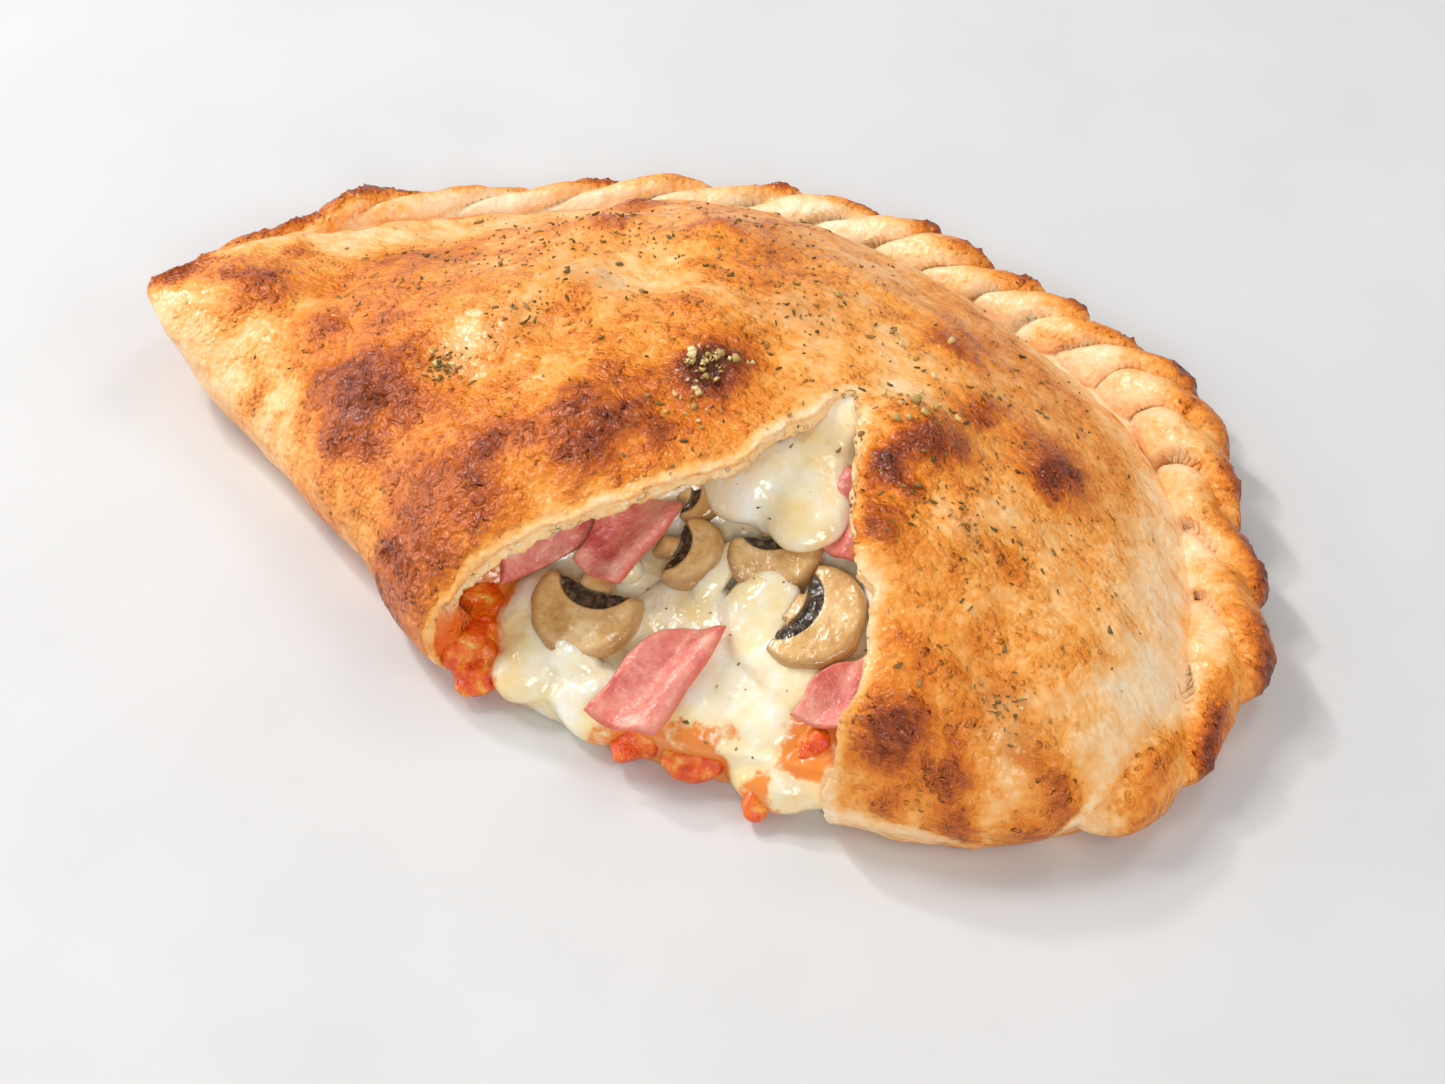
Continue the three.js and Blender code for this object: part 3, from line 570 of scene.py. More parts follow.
def box_object(name, low, high):
    corners = np.array([np.where(bits, high, low) for bits in np.ndindex(2, 2, 2)], float)
    quads = [(0, 1, 3, 2), (4, 6, 7, 5), (0, 4, 5, 1), (2, 3, 7, 6), (0, 2, 6, 4), (1, 5, 7, 3)]
    return mesh_object(name, corners, np.array(quads))


def torn_outline():
    outline = resampled([*LEFT_LIP, *MOUTH_CORNERS, *RIGHT_LIP], WALL_STEP)
    flat = np.column_stack([outline, np.zeros(len(outline))])
    return moved_out(outline, 0.8 * noise(flat, 5, 3) + 0.35 * noise(flat, 2, 4))


def near_tear(points, outline, reach_mm):
    """1 on the torn edge seen from above, falling to 0 that far away from it."""
    tree = KDTree(len(outline))
    for i, (x, y) in enumerate(outline):
        tree.insert((x, y, 0), i)
    tree.balance()
    close = np.zeros(len(points))
    low, high = outline.min(axis=0) - reach_mm, outline.max(axis=0) + reach_mm
    for i in np.flatnonzero(np.all((points[:, :2] > low) & (points[:, :2] < high), axis=1)):
        close[i] = max(0, 1 - tree.find((points[i, 0], points[i, 1], 0))[2] / reach_mm)
    return close


def cut_open(crust, outline):
    """Cuts the tear down through the top, and its mouth through the foot."""
    levels = np.arange(CRUST, CREST + 8, WALL_STEP)

    def torn_wall(points):
        return 0.6 * noise(points, 4, 5) + 0.35 * noise(points, 1.8, 6)

    combine(crust, wall_object("opening", outline, levels, torn_wall), "DIFFERENCE")
    mouth = wall_object("mouth", outline, (-5, CRUST + 5))
    combine(mouth, box_object("front", (-150, -140, -6), (150, BASE_FRONT, CRUST + 6)), "INTERSECT")
    combine(crust, mouth, "DIFFERENCE")


def crust_relief(points, tone, inner):
    """How far each point stands out: wrinkled skin outside, crumb inside, and a flat foot."""
    browned = smoothstep(0.5, 0.8, tone)
    skin = 1.3 * noise(points, 20, 17) + 0.8 * noise(points, 10, 11) + 0.32 * noise(points, 4.5, 12)
    skin += (0.08 + 0.14 * browned) * noise(points, 2.3, 18)
    skin += (0.08 + 0.9 * browned) * ridges(points, 3.6, 13)
    skin += (0.08 + 0.5 * browned) * ridges(points, 2.2, 16)
    crumb = 0.55 * noise(points, 3.4, 14) + 0.35 * noise(points, 1.7, 15)
    above_foot = smoothstep(0.2, 1.5, points[:, 2] - lift(points[:, 0]))
    return ((1 - inner) * skin + inner * crumb) * above_foot


def make_crust():
    crust = combine(combine(body_object(), flange_object(), "UNION"), rim_object(), "UNION")
    whole_skin = BVHTree.FromObject(crust, bpy.context.evaluated_depsgraph_get())
    combine(crust, cavity_object("cavity", 0, CRUST), "DIFFERENCE")
    outline = torn_outline()
    cut_open(crust, outline)
    depth = np.array([whole_skin.find_nearest(v.co)[3] for v in crust.data.vertices]) * MM_PER_M
    torn = near_tear(vertex_places(crust), outline, TEAR_REACH)
    relax(crust, 0.6 * smoothstep(0.45, 0.75, torn), 4)
    points = vertex_places(crust)
    normals = read_vectors(crust.data.vertex_normals, "vector").astype(float)
    tone = crust_tone(points, normals)
    inner = smoothstep(0.1, 0.8, depth)
    amount = crust_relief(points, tone, inner)
    move_vertices(crust, points + normals * amount[:, None])
    store(crust, "tone", tone - 0.22 * smoothstep(0.3, 0.9, torn) * (1 - inner))
    store(crust, "depth", depth)
    store(crust, "steeped", steeped_share(points))
    store(crust, "stain", smoothstep(16, 6, sauce_distance(points) + 2 * noise(points, 4, 19)))
    smooth(crust, 50)
    return crust


def body_tone(points):
    x, y, _ = points.T
    tone = 0.38 + 0.07 * noise(points, 26, 21) + 0.05 * noise(points, 11, 22)
    tone += 0.04 * smoothstep(20, -60, x) - 0.05 * smoothstep(62, 125, x)
    warped_x = x + 3.5 * noise(points, 9, 26) + 1.2 * noise(points, 3.5, 28)
    warped_y = y + 3.5 * noise(points, 9, 27) + 1.2 * noise(points, 3.5, 29)
    patches = 1 + 0.22 * noise(points, 5, 23)
    for bx, by, radius, strength in BROWNED:
        distance = np.hypot(warped_x - bx, warped_y - by) / radius
        tone += strength * patches * np.exp(-(distance**2.4))
    for *place, strength in PALE:
        tone -= strength * spot(warped_x, warped_y, *place)
    share = share_of_reach(x, y)
    behind = smoothstep(-0.3, 0.3, backwards(x, y))
    broad_end = smoothstep(90, 120, x) * smoothstep(-58, -35, y)
    tone -= 0.14 * smoothstep(0.84, 0.95, share) * np.maximum(behind, broad_end)
    tone -= 0.12 * smoothstep(0.86, 0.98, share) * smoothstep(-20, -60, x) * (1 - behind)
    return tone + 0.32 * smoothstep(-133, -144, x) * smoothstep(-70, -58, y)


def rim_tone(points):
    """How browned the rim is, and 1 for each point that is on it."""
    x, y, _ = points.T
    pinch, angle, distance = rim_place(points)
    fold = np.sin(math.pi * ((pinch + RIM_SLANT * np.cos(angle)) % 1) ** RIM_SKEW)
    on_rim = smoothstep(1.5, 1.2, distance) * smoothstep(0.75, 0.95, share_of_reach(x, y))
    tips = fold**3 * smoothstep(0.35, 1.0, np.cos(angle)) * smoothstep(0.5, 1.5, pinch)
    outer = smoothstep(-0.5, 0.6, np.cos(angle))
    tone = 0.08 + 0.33 * outer * smoothstep(0.3, 1.5, pinch) + 0.10 * fold + 0.09 * noise(points, 9, 24)
    tone += 0.34 * tips * (1 + 0.7 * noise(points, 10, 30))
    tone += 0.14 * smoothstep(-115, -135, x) - 0.10 * smoothstep(20, -30, x) * smoothstep(-130, -112, x)
    return tone, on_rim


def crust_tone(points, normals):
    """How browned the skin is, from 0 for raw dough to 1 for burnt."""
    edge_tone, on_rim = rim_tone(points)
    tone = body_tone(points) * (1 - on_rim) + edge_tone * on_rim
    under = smoothstep(-0.3, -0.9, normals[:, 2])
    return tone * (1 - under) + (0.42 + 0.12 * noise(points, 14, 25)) * under


def steeped_share(points):
    x, y, _ = points.T
    x = x + 2.5 * noise(points, 6, 35)
    y = y + 2.5 * noise(points, 6, 36)
    return np.max([spot(x, y, *place) for place in STEEPED], axis=0)


# ---------- soft fillings, made from distance fields ----------
def ellipsoid(points, halves):
    """Rough distance to an ellipsoid about the origin, below zero inside."""
    p = points / np.array(halves)
    outer = np.linalg.norm(p, axis=-1)
    inner = np.linalg.norm(p / np.array(halves), axis=-1)
    return outer * (outer - 1) / np.maximum(inner, 1e-6)


def smooth_union(a, b, width):
    h = np.maximum(width - np.abs(a - b), 0) / width
    return np.minimum(a, b) - h * h * width / 4


def tilted(points, centre, angle):
    """Points about a centre, tilted so that a slope of that angle becomes level."""
    p = points - centre
    c, s = math.cos(angle), math.sin(angle)
    return np.stack([p[..., 0], c * p[..., 1] + s * p[..., 2], c * p[..., 2] - s * p[..., 1]], axis=-1)


SLOPE_ANGLE = math.atan(SLOPE_RISE)


def slope_height(y):
    return SLOPE_HEIGHT + SLOPE_RISE * (y - SLOPE_FROM)


def blob(points, lump):
    x, y, z, *halves = lump
    angle = SLOPE_ANGLE if z > halves[2] else 0
    return ellipsoid(tilted(points, (x, y, z), angle), halves)


def object_from_field(name, low, high, step, field):
    """A closed mesh round the places where the field is below zero."""
    axes = [np.arange(a, b, step) for a, b in zip(low, high)]
    grid = np.stack(np.meshgrid(*axes, indexing="ij"), axis=-1)
    values = field(grid)
    edge = np.ones(values.shape, bool)
    edge[1:-1, 1:-1, 1:-1] = False
    values[edge] = np.maximum(values[edge], step)
    volume = openvdb.FloatGrid(background=float(step))
    volume.copyFromArray(values.astype(np.float32))
    volume.transform = openvdb.createLinearTransform(voxelSize=step)
    vertices, quads = volume.convertToQuads(isovalue=0)
    return mesh_object(name, vertices + np.array(low), quads)


def cheese_field(points):
    x, y, z = np.moveaxis(points, -1, 0)
    value = (z - slope_height(y) + 2) * math.cos(SLOPE_ANGLE)
    value = np.maximum(value, z - (smooth_dome(x, y) - CRUST - 0.2))
    value = np.maximum(value, (share_of_reach(x, y) - CAVITY_SHARE) * 90)
    for lobe in LOBES:
        value = smooth_union(value, blob(points, lobe), 2.2)
    for film in FILMS:
        value = smooth_union(value, blob(points, film), 2)
    value += 0.8 * noise(points, 13, 34) + 0.45 * noise(points, 7, 31) + 0.16 * noise(points, 3.5, 32)
    floor = np.where(y > BASE_FRONT - GAP, CRUST + SAUCE_DEPTH + GAP, 0.25)
    return np.maximum(value, floor - z)


def hollow_object():
    """The empty space over the filling, with a floor that follows the slope."""
    outline = np.array([*LEFT_LIP, *MOUTH_CORNERS, *RIGHT_LIP], float)
    amounts = [HOLLOW_REACH] * len(LEFT_LIP) + [0] * len(MOUTH_CORNERS)
    amounts += [RIGHT_HOLLOW_REACH] * len(RIGHT_LIP)
    hollow = wall_object("hollow", moved_out(outline, amounts), (0, 1))
    points = vertex_places(hollow)
    points[:, 2] = np.where(points[:, 2] < 0.5, slope_height(points[:, 1]) - 2, CREST + 30)
    move_vertices(hollow, points)
    return hollow


def sauce_distance(points):
    return np.min([blob(points, lump) for lump in SAUCE_LUMPS], axis=0)


def make_cheese():
    """The cheese of the opening, joined to the fill that runs on through the pocket."""
    bottom = CRUST + SAUCE_DEPTH + GAP
    fill = combine(cavity_object("fill", GAP, bottom), hollow_object(), "DIFFERENCE")
    combine(fill, box_object("under", (-200, -160, -9), (200, BASE_FRONT, bottom)), "DIFFERENCE")
    cheese = object_from_field("cheese_visible", (-22, -104, -1), (96, 4, 52), CHEESE_STEP, cheese_field)
    combine(cheese, fill, "UNION")
    points = vertex_places(cheese)
    store(cheese, "oil", smoothstep(9, -1, sauce_distance(points) + 3 * noise(points, 5, 33)))
    return cheese


def sauce_field(points):
    z = points[..., 2]
    value = np.full(z.shape, 50.0)
    for lump in SAUCE_LUMPS:
        value = smooth_union(value, blob(points, lump), 2.5)
    value += 1.3 * noise(points, 3.8, 41) + 0.5 * noise(points, 1.9, 42)
    return np.maximum(value, 0.15 - z)


def make_sauce():
    """The lumps of the opening, joined to the layer that runs on under the cheese."""
    layer = cavity_object("layer", GAP, CRUST + GAP)
    level = box_object("level", (-200, BASE_FRONT + 2, -9), (200, 150, CRUST + SAUCE_DEPTH))
    combine(layer, level, "INTERSECT")
    sauce = object_from_field("sauce_visible", (-25, -104, -1), (84, -62, 20), SAUCE_STEP, sauce_field)
    return combine(sauce, layer, "UNION")


# ---------- slices ----------
def ham_sheet(corners, ripple):
    """The middle surface of a slice, its normal, and how near each point is to the edge."""
    upper_left, upper_right, lower_right, lower_left = np.array(corners, float)
    across = upper_right - upper_left
    normal = np.cross(lower_left - upper_left, across)
    normal /= np.linalg.norm(normal)
    a, b = np.meshgrid(np.linspace(-1, 1, HAM_GRID), np.linspace(-1, 1, HAM_GRID))
    u = 0.5 + 0.5 * a * np.sqrt(1 - HAM_ROUNDING * b * b / 2) * HAM_SPREAD
    v = 0.5 + 0.5 * b * np.sqrt(1 - HAM_ROUNDING * a * a / 2) * HAM_SPREAD
    u, v = u[..., None], v[..., None]
    upper = upper_left + (upper_right - upper_left) * u
    lower = lower_left + (lower_right - lower_left) * u
    bulge = 1.2 * np.sin(2.3 * math.pi * v) * (u - 0.5)
    wave = ripple * np.sin(2.6 * math.pi * u + 1.7 * v) + 0.6 * ripple * np.sin(2 * math.pi * v)
    middle = upper + (lower - upper) * v + across / np.linalg.norm(across) * bulge + normal * wave
    middle = middle + 0.5 * noise(middle, 6, 51)[..., None] * normal
    return middle, normal, np.maximum(np.abs(a), np.abs(b))[..., None]


def sheet_faces(width):
    """Faces of two square grids of points, an upper and a lower one, and the walls between them."""
    index = np.arange(width * width).reshape(width, width)
    i, j, k, m = index[:-1, :-1], index[:-1, 1:], index[1:, 1:], index[1:, :-1]
    upper = np.stack([i, m, k, j], axis=-1).reshape(-1, 4)
    loop = np.concatenate([index[0, :-1], index[:-1, -1], index[-1, :0:-1], index[:0:-1, 0]])
    following = np.roll(loop, -1)
    walls = np.stack([loop, following, following + width * width, loop + width * width], axis=1)
    return upper, upper[:, ::-1] + width * width, walls


def ham_object(name, corners, ripple):
    middle, normal, edge = ham_sheet(corners, ripple)
    half = HAM_THICKNESS / 2 * np.sqrt(np.maximum(1 - edge**10, 0.0)) + 0.12
    top = (middle + normal * half).reshape(-1, 3)
    base = (middle - normal * half).reshape(-1, 3)
    ham = mesh_object(name + "_slice", np.vstack([top, base]), *sheet_faces(HAM_GRID))
    store(ham, "edge", np.tile(edge.ravel(), 2))
    smooth(ham, 70)
    return ham


def bezier(start, control_a, control_b, end, count):
    t = np.linspace(0, 1, count, endpoint=False)[:, None]
    start, control_a, control_b, end = (np.array(p, float) for p in (start, control_a, control_b, end))
    first_half = (1 - t) ** 3 * start + 3 * (1 - t) ** 2 * t * control_a
    return first_half + 3 * (1 - t) * t**2 * control_b + t**3 * end


def mushroom_outline(stalk):
    """Outline for a cap of half-width 1, crown towards +x: cap, gill hollows and stalk."""
    pieces = [
        bezier((-0.35, -0.86), (0.1, -1.12), (0.95, -0.8), (0.95, 0), 14),
        bezier((0.95, 0), (0.95, 0.8), (0.1, 1.12), (-0.35, 0.86), 14),
        bezier((-0.35, 0.86), (-0.38, 0.65), (-0.37, 0.47), (-0.3, 0.3), 6),
        np.array([(-0.3, 0.3), (-0.4 - stalk, 0.26), (-0.4 - stalk, -0.26)]),
        bezier((-0.3, -0.3), (-0.37, -0.47), (-0.38, -0.65), (-0.35, -0.86), 6),
    ]
    return np.vstack(pieces)


def gill_outline(shift):
    pieces = [
        bezier((-0.6, -0.75), (0.2, -0.75), (0.35, -0.3), (0.35, 0), 10),
        bezier((0.35, 0), (0.35, 0.3), (0.2, 0.75), (-0.6, 0.75), 10),
        bezier((-0.6, 0.75), (-0.1, 0.55), (0.05, 0.3), (0.05, 0), 10),
        bezier((0.05, 0), (0.05, -0.3), (-0.1, -0.55), (-0.6, -0.75), 10),
    ]
    return np.vstack(pieces) + (shift, 0)


def outline_distance(points, outline):
    """Signed distance in the plane to a closed outline, below zero inside."""
    flat = points.reshape(-1, 2)
    best = np.full(len(flat), np.inf)
    inside = np.zeros(len(flat), bool)
    for a, b in zip(outline, np.roll(outline, -1, axis=0)):
        edge = b - a
        t = np.clip((flat - a) @ edge / (edge @ edge), 0, 1)
        best = np.minimum(best, np.linalg.norm(flat - a - t[:, None] * edge, axis=1))
        crosses = (a[1] > flat[:, 1]) != (b[1] > flat[:, 1])
        inside ^= crosses & (flat[:, 0] < edge[0] * (flat[:, 1] - a[1]) / (edge[1] or 1e-9) + a[0])
    return np.where(inside, -best, best).reshape(points.shape[:-1])


def mushroom_field(cap, gills, half):
    """A field for a slice that lies flat, with rounded edges and gills cut into its upper side."""
    thick = MUSHROOM_THICKNESS / 2

    def field(points):
        flat = points[:, :, :1, :2]
        side = outline_distance(flat, cap) + 0.5 * noise(points[:, :, :1], 5, 61) + MUSHROOM_ROUNDING
        level = np.abs(points[..., 2] - 0.35 * noise(points, 9, 62)) - thick + MUSHROOM_ROUNDING
        value = np.hypot(np.maximum(side, 0), np.maximum(level, 0)) - MUSHROOM_ROUNDING
        value = value + np.minimum(np.maximum(side, level), 0)
        angle = np.arctan2(flat[..., 1], flat[..., 0] + 0.5 * half)
        groove = 0.9 + 0.14 * np.sin(52 * angle) + 0.5 * noise(points[:, :, :1], 2, 63)
        gill = np.maximum(outline_distance(flat, gills), thick - groove - points[..., 2])
        return np.maximum(value, -gill)

    return field


def mushroom_object(name, centre, turn, width, tilt, stalk, shift):
    half = width / 2
    cap, gills = mushroom_outline(stalk) * half, gill_outline(shift) * half
    high = np.array([half * 1.25, half * 1.25, MUSHROOM_THICKNESS / 2 + 1.5])
    field = mushroom_field(cap, gills, half)
    mushroom = object_from_field(name + "_slice", -high, high, SLICE_STEP, field)
    x, y, z = vertex_places(mushroom).T
    flat = np.stack([x, y], axis=1)
    store(mushroom, "gill", smoothstep(0.6, -0.3, outline_distance(flat, gills)) * (z > 0))
    store(mushroom, "rim", smoothstep(-2.4, -0.4, outline_distance(flat, cap)))
    c, s = math.cos(math.radians(turn)), math.sin(math.radians(turn))
    turned = np.stack([x * c - y * s, x * s + y * c, z], axis=1)
    move_vertices(mushroom, tilted(turned, (0, 0, 0), -SLOPE_ANGLE - math.radians(tilt)) + centre)
    mushroom.data.shade_smooth()
    return mushroom


# ---------- small things on the crust ----------
def scattered_spots(surface, places, total, sunk, random):
    """Points and normals on a surface, scattered about some places, no deeper than that below the dome."""
    weights = np.array([p[3] for p in places], float)
    found = []
    while len(found) < total:
        x0, y0, spread, _ = places[random.choice(len(places), p=weights / weights.sum())]
        x, y = random.normal((x0, y0), spread * 0.6)
        start = Vector(to_row((x, y, 90)))
        place, normal, _, _ = surface.ray_cast(start, Vector((0, 0, -1)))
        if place is None or share_of_reach(x, y) > 0.97 or from_row(place)[2] < smooth_dome(x, y) - sunk:
            continue
        found.append((from_row(place), np.array(normal)))
    return found


def flake_points(place, normal, size, thickness, widths, random):
    """Points of one irregular flake: its lower and upper outline, then its lower and upper middle."""
    angle = np.sort(random.uniform(0, 2 * math.pi, FLAKE_CORNERS))
    radius = size * random.uniform(0.55, 1.0, FLAKE_CORNERS)
    stretch = random.uniform(*widths)
    side = np.cross(normal, random.normal(size=3))
    side /= np.linalg.norm(side)
    other = np.cross(normal, side)
    curl = random.uniform(-0.25, 0.5) * size
    flat = side * (radius * np.cos(angle))[:, None] + other * (stretch * radius * np.sin(angle))[:, None]
    bend = normal * (curl * np.cos(angle) ** 2)[:, None]
    lower = place + flat + bend - normal * FLAKE_SINK
    upper = place + flat * 0.9 + bend + normal * thickness
    return [*lower, *upper, place - normal * FLAKE_SINK, place + normal * (thickness + FLAKE_SINK)]


def flake_faces(start):
    """Triangles of the flake whose points start at that index."""
    faces = []
    middle = start + 2 * FLAKE_CORNERS
    for i in range(FLAKE_CORNERS):
        a, b = start + i, start + (i + 1) % FLAKE_CORNERS
        c, d = a + FLAKE_CORNERS, b + FLAKE_CORNERS
        faces += [(a, b, d), (a, d, c), (middle, b, a), (middle + 1, c, d)]
    return faces


def scatter_object(name, spots, sizes, heights, widths, random):
    """Flakes that lie on their spots, in one mesh; widths is a range of shares of the length."""
    vertices, faces, tones = [], [], []
    for (place, normal), size, thickness in zip(spots, sizes, heights):
        faces += flake_faces(len(vertices))
        points = flake_points(place, normal, size, thickness, widths, random)
        vertices += points
        tones += [random.random()] * len(points)
    scattered = mesh_object(name, np.array(vertices), np.array(faces))
    store(scattered, "tone", tones)
    return scattered


# ---------- materials ----------
def srgb(red, green, blue):
    """A colour as the display shows it, 0 to 255, as the linear values that Blender takes."""
    linear = []
    for value in (red / 255, green / 255, blue / 255):
        linear.append(value / 12.92 if value < 0.04045 else ((value + 0.055) / 1.055) ** 2.4)
    return (*linear, 1)


class Shader:
    """A material's node tree, with one short call for each kind of node."""

    def __init__(self, name):
        self.material = bpy.data.materials.new(name)
        self.material.use_nodes = True
        self.nodes = self.material.node_tree.nodes
        self.links = self.material.node_tree.links
        self.surface = self.nodes["Principled BSDF"]
        self.place = self.nodes.new("ShaderNodeTexCoord").outputs["Object"]

    def feed(self, socket, value):
        if isinstance(value, bpy.types.NodeSocket):
            self.links.new(value, socket)
        else:
            socket.default_value = value

    def node(self, kind, output, inputs, **settings):
        """Makes a node, fills its inputs by name or number, and gives one of its outputs."""
        node = self.nodes.new("ShaderNode" + kind)
        for key, value in settings.items():
            setattr(node, key, value)
        for key, value in inputs.items():
            self.feed(node.inputs[key], value)
        return node.outputs[output]

    def attribute(self, name):
        return self.node("Attribute", "Fac", {}, attribute_name=name)

    def noise(self, size_mm, detail=3, roughness=0.55, distortion=0):
        return self.node("TexNoise", "Fac", {
            "Vector": self.place, "Scale": MM_PER_M / size_mm, "Detail": detail,
            "Roughness": roughness, "Distortion": distortion,
        })

    def cells(self, size_mm):
        return self.node("TexVoronoi", "Distance", {"Vector": self.place, "Scale": MM_PER_M / size_mm})

    def math(self, operation, a, b):
        return self.node("Math", 0, {0: a, 1: b}, operation=operation)

    def spread(self, value, start, end, low=0.0, high=1.0):
        """Maps start..end of a value to low..high, and holds it there."""
        return self.node("MapRange", 0, dict(enumerate((value, start, end, low, high))))

    def patchy(self, size_mm, low, high, detail=2):
        """A value that drifts between low and high in patches of that size."""
        return self.spread(self.noise(size_mm, detail), 0.3, 0.7, low, high)

    def ramp(self, value, *stops):
        """A colour ramp from stops, each a position and the three numbers of a display colour."""
        node = self.nodes.new("ShaderNodeValToRGB")
        elements = node.color_ramp.elements
        while len(elements) < len(stops):
            elements.new(0.5)
        for element, (position, *colour) in zip(elements, stops):
            element.position = position
            element.color = srgb(*colour)
        self.feed(node.inputs["Fac"], value)
        return node.outputs["Color"]

    def mix(self, factor, a, b, blend="MIX"):
        return self.node("Mix", 2, {"Factor": factor, 6: a, 7: b}, data_type="RGBA", blend_type=blend)

    def tint(self, colour, share, strength, display_colour, blend="MIX"):
        """Mixes in a display colour by a share, no further than the strength."""
        return self.mix(self.math("MULTIPLY", share, strength), colour, srgb(*display_colour), blend)

    def bump(self, *layers):
        """Bumps from pairs of a height and its size in millimetres."""
        below = {}
        for height, size_mm in layers:
            inputs = {"Height": height, "Distance": size_mm / MM_PER_M, **below}
            normal = self.node("Bump", "Normal", inputs)
            below = {"Normal": normal}
        self.feed(self.surface.inputs["Normal"], normal)
        self.feed(self.surface.inputs["Coat Normal"], normal)

    def set(self, **values):
        names = {
            "colour": "Base Color", "roughness": "Roughness", "specular": "Specular IOR Level",
            "coat": "Coat Weight", "coat_roughness": "Coat Roughness", "scatter": "Subsurface Weight",
            "radius": "Subsurface Radius", "scale": "Subsurface Scale",
        }
        for key, value in values.items():
            self.feed(self.surface.inputs[names[key]], value)


def crust_material():
    s = Shader("baked_crust")
    coarse = s.math("MULTIPLY", s.noise(9, 3, 0.5, 0.4), 0.48)
    fine = s.math("MULTIPLY", s.noise(2.2, 3), 0.34)
    mottle = s.math("SUBTRACT", s.math("ADD", coarse, fine), 0.395)
    value = s.math("ADD", s.attribute("tone"), mottle)
    skin = s.ramp(
        value, (0.02, 255, 228, 188), (0.16, 255, 212, 158), (0.28, 253, 190, 116), (0.40, 248, 160, 60),
        (0.52, 232, 128, 12), (0.64, 198, 94, 4), (0.78, 148, 60, 8), (0.96, 84, 34, 8),
    )
    skin = s.tint(skin, s.attribute("steeped"), 0.55, (206, 166, 78), "MULTIPLY")
    depth = s.attribute("depth")
    inside = s.spread(depth, 0.25, 1.1)
    crumb = s.ramp(s.noise(2.2, 4), (0.3, 252, 200, 130), (0.5, 255, 216, 156), (0.72, 255, 234, 192))
    crumb = s.tint(crumb, s.spread(depth, 3.0, 4.2), 0.6, (226, 150, 84))
    crumb = s.mix(s.attribute("stain"), crumb, srgb(234, 106, 10))
    gloss = s.math("ADD", s.spread(value, 0.2, 0.7, 0.52, 0.24), s.math("MULTIPLY", s.noise(3, 2), 0.16))
    s.set(colour=s.mix(inside, skin, crumb))
    s.set(roughness=s.math("MAXIMUM", gloss, s.math("MULTIPLY", inside, 0.7)))
    s.set(specular=0.22, coat=0.5, coat_roughness=0.12)
    s.set(scatter=0.03, radius=(0.0020, 0.0012, 0.0006), scale=1.0)
    dimples = s.spread(s.cells(1.6), 0.1, 0.5, 1.0, 0.0)
    pimples = s.math("MULTIPLY", dimples, s.spread(s.noise(9, 3), 0.42, 0.62))
    pimples = s.math("MULTIPLY", pimples, s.spread(value, 0.2, 0.5, 0.3, 1.0))
    wrinkles = s.math("MULTIPLY", s.noise(2.6, 2, 0.5, 0.8), s.spread(value, 0.38, 0.66, 0.06, 1.0))
    s.bump((s.noise(0.8, 2), 0.13), (pimples, 0.7), (wrinkles, 2.0), (s.noise(6, 2), 1.6))
    return s.material


def cheese_material():
    s = Shader("melted_cheese")
    oil = s.attribute("oil")
    base = s.ramp(s.noise(8, 4), (0.3, 255, 232, 178), (0.5, 255, 243, 214), (0.7, 255, 250, 236))
    golden = s.spread(s.math("ADD", s.noise(13, 3), s.math("MULTIPLY", oil, 0.35)), 0.46, 0.66)
    base = s.tint(base, golden, 0.5, (250, 208, 118))
    ragged = s.math("ADD", oil, s.noise(2.4, 4, 0.65))
    base = s.tint(base, s.spread(ragged, 1.05, 1.3), 0.9, (242, 134, 22))
    dots = s.spread(s.noise(1.6, 3), 0.70, 0.74)
    s.set(colour=s.tint(base, dots, 0.7, (214, 122, 44)), roughness=s.patchy(4, 0.12, 0.28, 3))
    s.set(specular=0.5, coat=0.4, coat_roughness=0.05)
    s.set(scatter=0.35, radius=(0.004, 0.003, 0.0018), scale=1.0)
    s.bump((s.noise(2.5, 3), 0.25), (s.noise(7, 2), 1.2))
    return s.material


def sauce_material():
    s = Shader("tomato_sauce")
    s.set(colour=s.ramp(
        s.noise(4, 5, 0.6), (0.32, 208, 50, 0), (0.46, 238, 88, 2), (0.58, 252, 130, 14),
        (0.70, 255, 190, 84),
    ))
    s.set(roughness=s.patchy(2, 0.10, 0.28), specular=0.45, coat=0.4, coat_roughness=0.05)
    s.set(scatter=0.3, radius=(0.003, 0.0008, 0.0004), scale=1.0)
    s.bump((s.noise(0.9, 3), 0.4), (s.noise(2.6, 3), 1.2))
    return s.material


def ham_material():
    s = Shader("cooked_ham")
    base = s.ramp(
        s.noise(7, 5, 0.6), (0.32, 206, 92, 88), (0.46, 230, 132, 116), (0.58, 240, 160, 140),
        (0.72, 248, 196, 176),
    )
    rim = s.spread(s.attribute("edge"), 0.86, 1.0)
    s.set(colour=s.tint(base, rim, 0.6, (204, 96, 66)), roughness=s.patchy(2, 0.24, 0.42), specular=0.5)
    s.set(scatter=0.25, radius=(0.004, 0.0015, 0.001), scale=1.0)
    s.bump((s.noise(1.5, 3), 0.3), (s.noise(4, 3), 1.2))
    return s.material


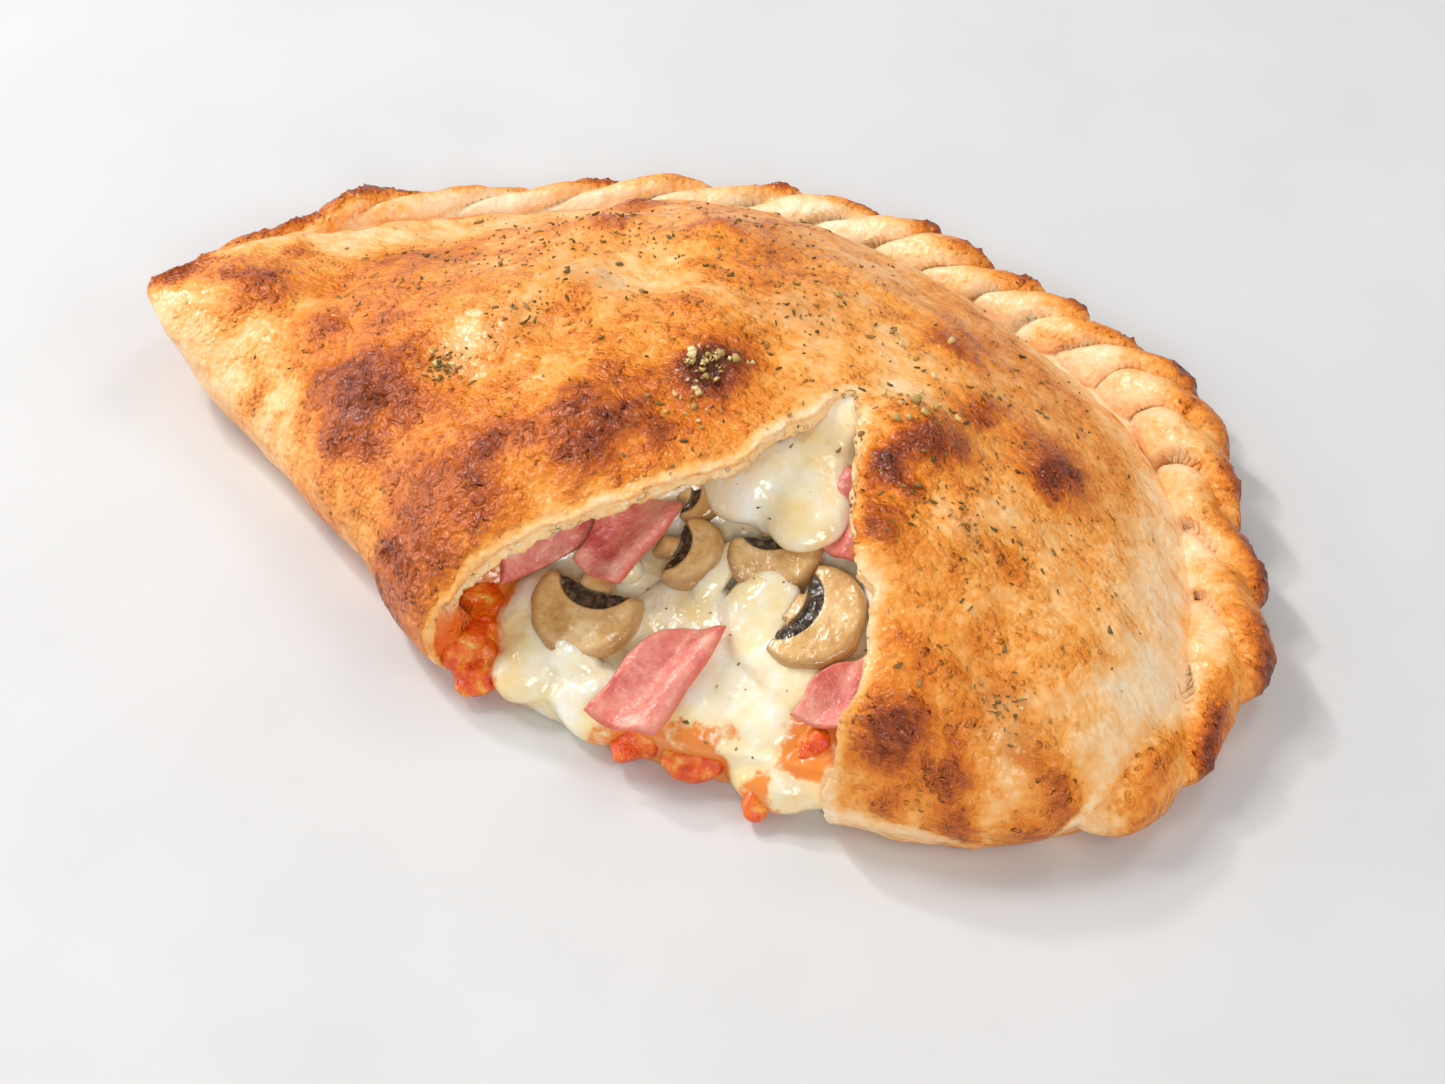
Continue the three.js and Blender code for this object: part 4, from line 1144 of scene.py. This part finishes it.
def mushroom_material():
    s = Shader("cooked_mushroom")
    flesh = s.ramp(s.noise(9, 3), (0.3, 200, 150, 82), (0.5, 230, 186, 118), (0.7, 248, 216, 162))
    veins = s.spread(s.noise(2.2, 4, 0.6, 1.5), 0.52, 0.66)
    flesh = s.tint(flesh, veins, 0.35, (176, 128, 76))
    flesh = s.tint(flesh, s.attribute("rim"), 0.6, (160, 112, 60))
    # Dark gill colour; its lighter specks are painted wet glints.
    gills = s.ramp(s.noise(1.6, 4), (0.35, 26, 18, 12), (0.5, 62, 44, 30), (0.68, 132, 108, 78))
    s.set(colour=s.mix(s.attribute("gill"), flesh, gills), roughness=s.patchy(2, 0.2, 0.4))
    s.set(specular=0.5, coat=0.5, coat_roughness=0.06)
    s.set(scatter=0.25, radius=(0.003, 0.002, 0.001), scale=1.0)
    s.bump((s.noise(1.5, 3), 0.2), (s.noise(5, 2), 0.8))
    return s.material


def herb_material():
    s = Shader("dried_herb")
    s.set(roughness=s.patchy(1, 0.6, 0.8), colour=s.ramp(
        s.attribute("tone"), (0.0, 84, 70, 30), (0.35, 122, 100, 46), (0.65, 150, 114, 58),
        (1.0, 188, 144, 82),
    ))
    s.bump((s.noise(0.4, 2), 0.1))
    return s.material


def grain_material():
    s = Shader("toasted_grains")
    s.set(roughness=s.patchy(1, 0.5, 0.7), colour=s.ramp(
        s.attribute("tone"), (0.0, 176, 140, 70), (0.5, 222, 190, 116), (1.0, 246, 226, 168),
    ))
    s.bump((s.noise(0.5, 2), 0.1))
    return s.material


def floor_material():
    s = Shader("pale_floor")
    s.set(colour=s.ramp(s.noise(60, 2), (0.3, 212, 211, 210), (0.7, 217, 216, 215)), roughness=0.6)
    return s.material


# ---------- stage ----------
def aimed_object(name, data, place, target):
    """Puts an object at a place in metres and turns it towards its target."""
    obj = bpy.data.objects.new(name, data)
    obj.location = place
    obj.rotation_mode = "QUATERNION"
    obj.rotation_quaternion = (Vector(target) - obj.location).to_track_quat("-Z", "Y")
    bpy.context.scene.collection.objects.link(obj)
    return obj


def make_camera():
    camera = bpy.data.cameras.new("camera")
    camera.lens = LENS
    camera.sensor_width = 36
    bpy.context.scene.camera = aimed_object("camera", camera, to_row(CAMERA_PLACE), to_row(CAMERA_TARGET))


def make_light(name, place, size, watts):
    light = bpy.data.lights.new(name, "AREA")
    light.size = size
    light.energy = watts
    aimed_object(name, light, place, LIGHT_TARGET)


def make_stage():
    corners = np.array([(-1, -1, 0), (1, -1, 0), (1, 1, 0), (-1, 1, 0)]) * FLOOR_HALF
    floor = mesh_object("floor", corners, [(0, 1, 2, 3)])
    floor.data.materials.append(floor_material())
    for name, (place, size, watts) in LIGHTS.items():
        make_light(name, place, size, watts)
    world = bpy.data.worlds.new("world")
    world.use_nodes = True
    sky = world.node_tree.nodes["Background"]
    sky.inputs["Color"].default_value = (1, 1, 1, 1)
    sky.inputs["Strength"].default_value = SKY_STRENGTH
    bpy.context.scene.world = world
    bpy.context.scene.view_settings.view_transform = "Standard"


# ---------- putting it together ----------
def scatter_toppings(crust, cheese):
    depsgraph = bpy.context.evaluated_depsgraph_get()
    crust_surface = BVHTree.FromObject(crust, depsgraph)
    cheese_surface = BVHTree.FromObject(cheese, depsgraph)
    random = np.random.default_rng(SCATTER_SEED)
    spots = scattered_spots(crust_surface, HERB_PLACES, HERB_TOTAL, 3, random)
    spots += scattered_spots(cheese_surface, CHEESE_HERB_PLACES, CHEESE_HERBS, CREST, random)
    sizes = random.gamma(2.2, 0.24, len(spots)) + 0.22
    herbs = scatter_object("herbs", spots, sizes, 0.2 + 0.1 * sizes, (0.18, 0.6), random)
    finish_piece(herbs, herb_material(), "crust")
    total = sum(place[3] for place in GRAIN_PLACES)
    spots = scattered_spots(crust_surface, GRAIN_PLACES, total, 3, random)
    sizes = np.minimum(random.gamma(2.2, 0.30, total) + 0.4, 1.7)
    grains = scatter_object("grains", spots, sizes, 0.7 * sizes, (0.5, 0.9), random)
    finish_piece(grains, grain_material(), "crust")


def main():
    crust = finish_piece(make_crust(), crust_material(), "crust", "crust")
    cheese = finish_piece(make_cheese(), cheese_material(), "cheese", "cheese")
    cheese.data.shade_smooth()
    finish_piece(make_sauce(), sauce_material(), "sauce", "sauce").data.shade_smooth()
    ham = ham_material()
    for name, (corners, ripple) in HAM.items():
        finish_piece(ham_object(name, corners, ripple), ham, "ham", name)
    mushroom = mushroom_material()
    for name, slice_values in MUSHROOMS.items():
        finish_piece(mushroom_object(name, *slice_values), mushroom, "mushroom", name)
    scatter_toppings(crust, cheese)
    make_camera()
    make_stage()


main()
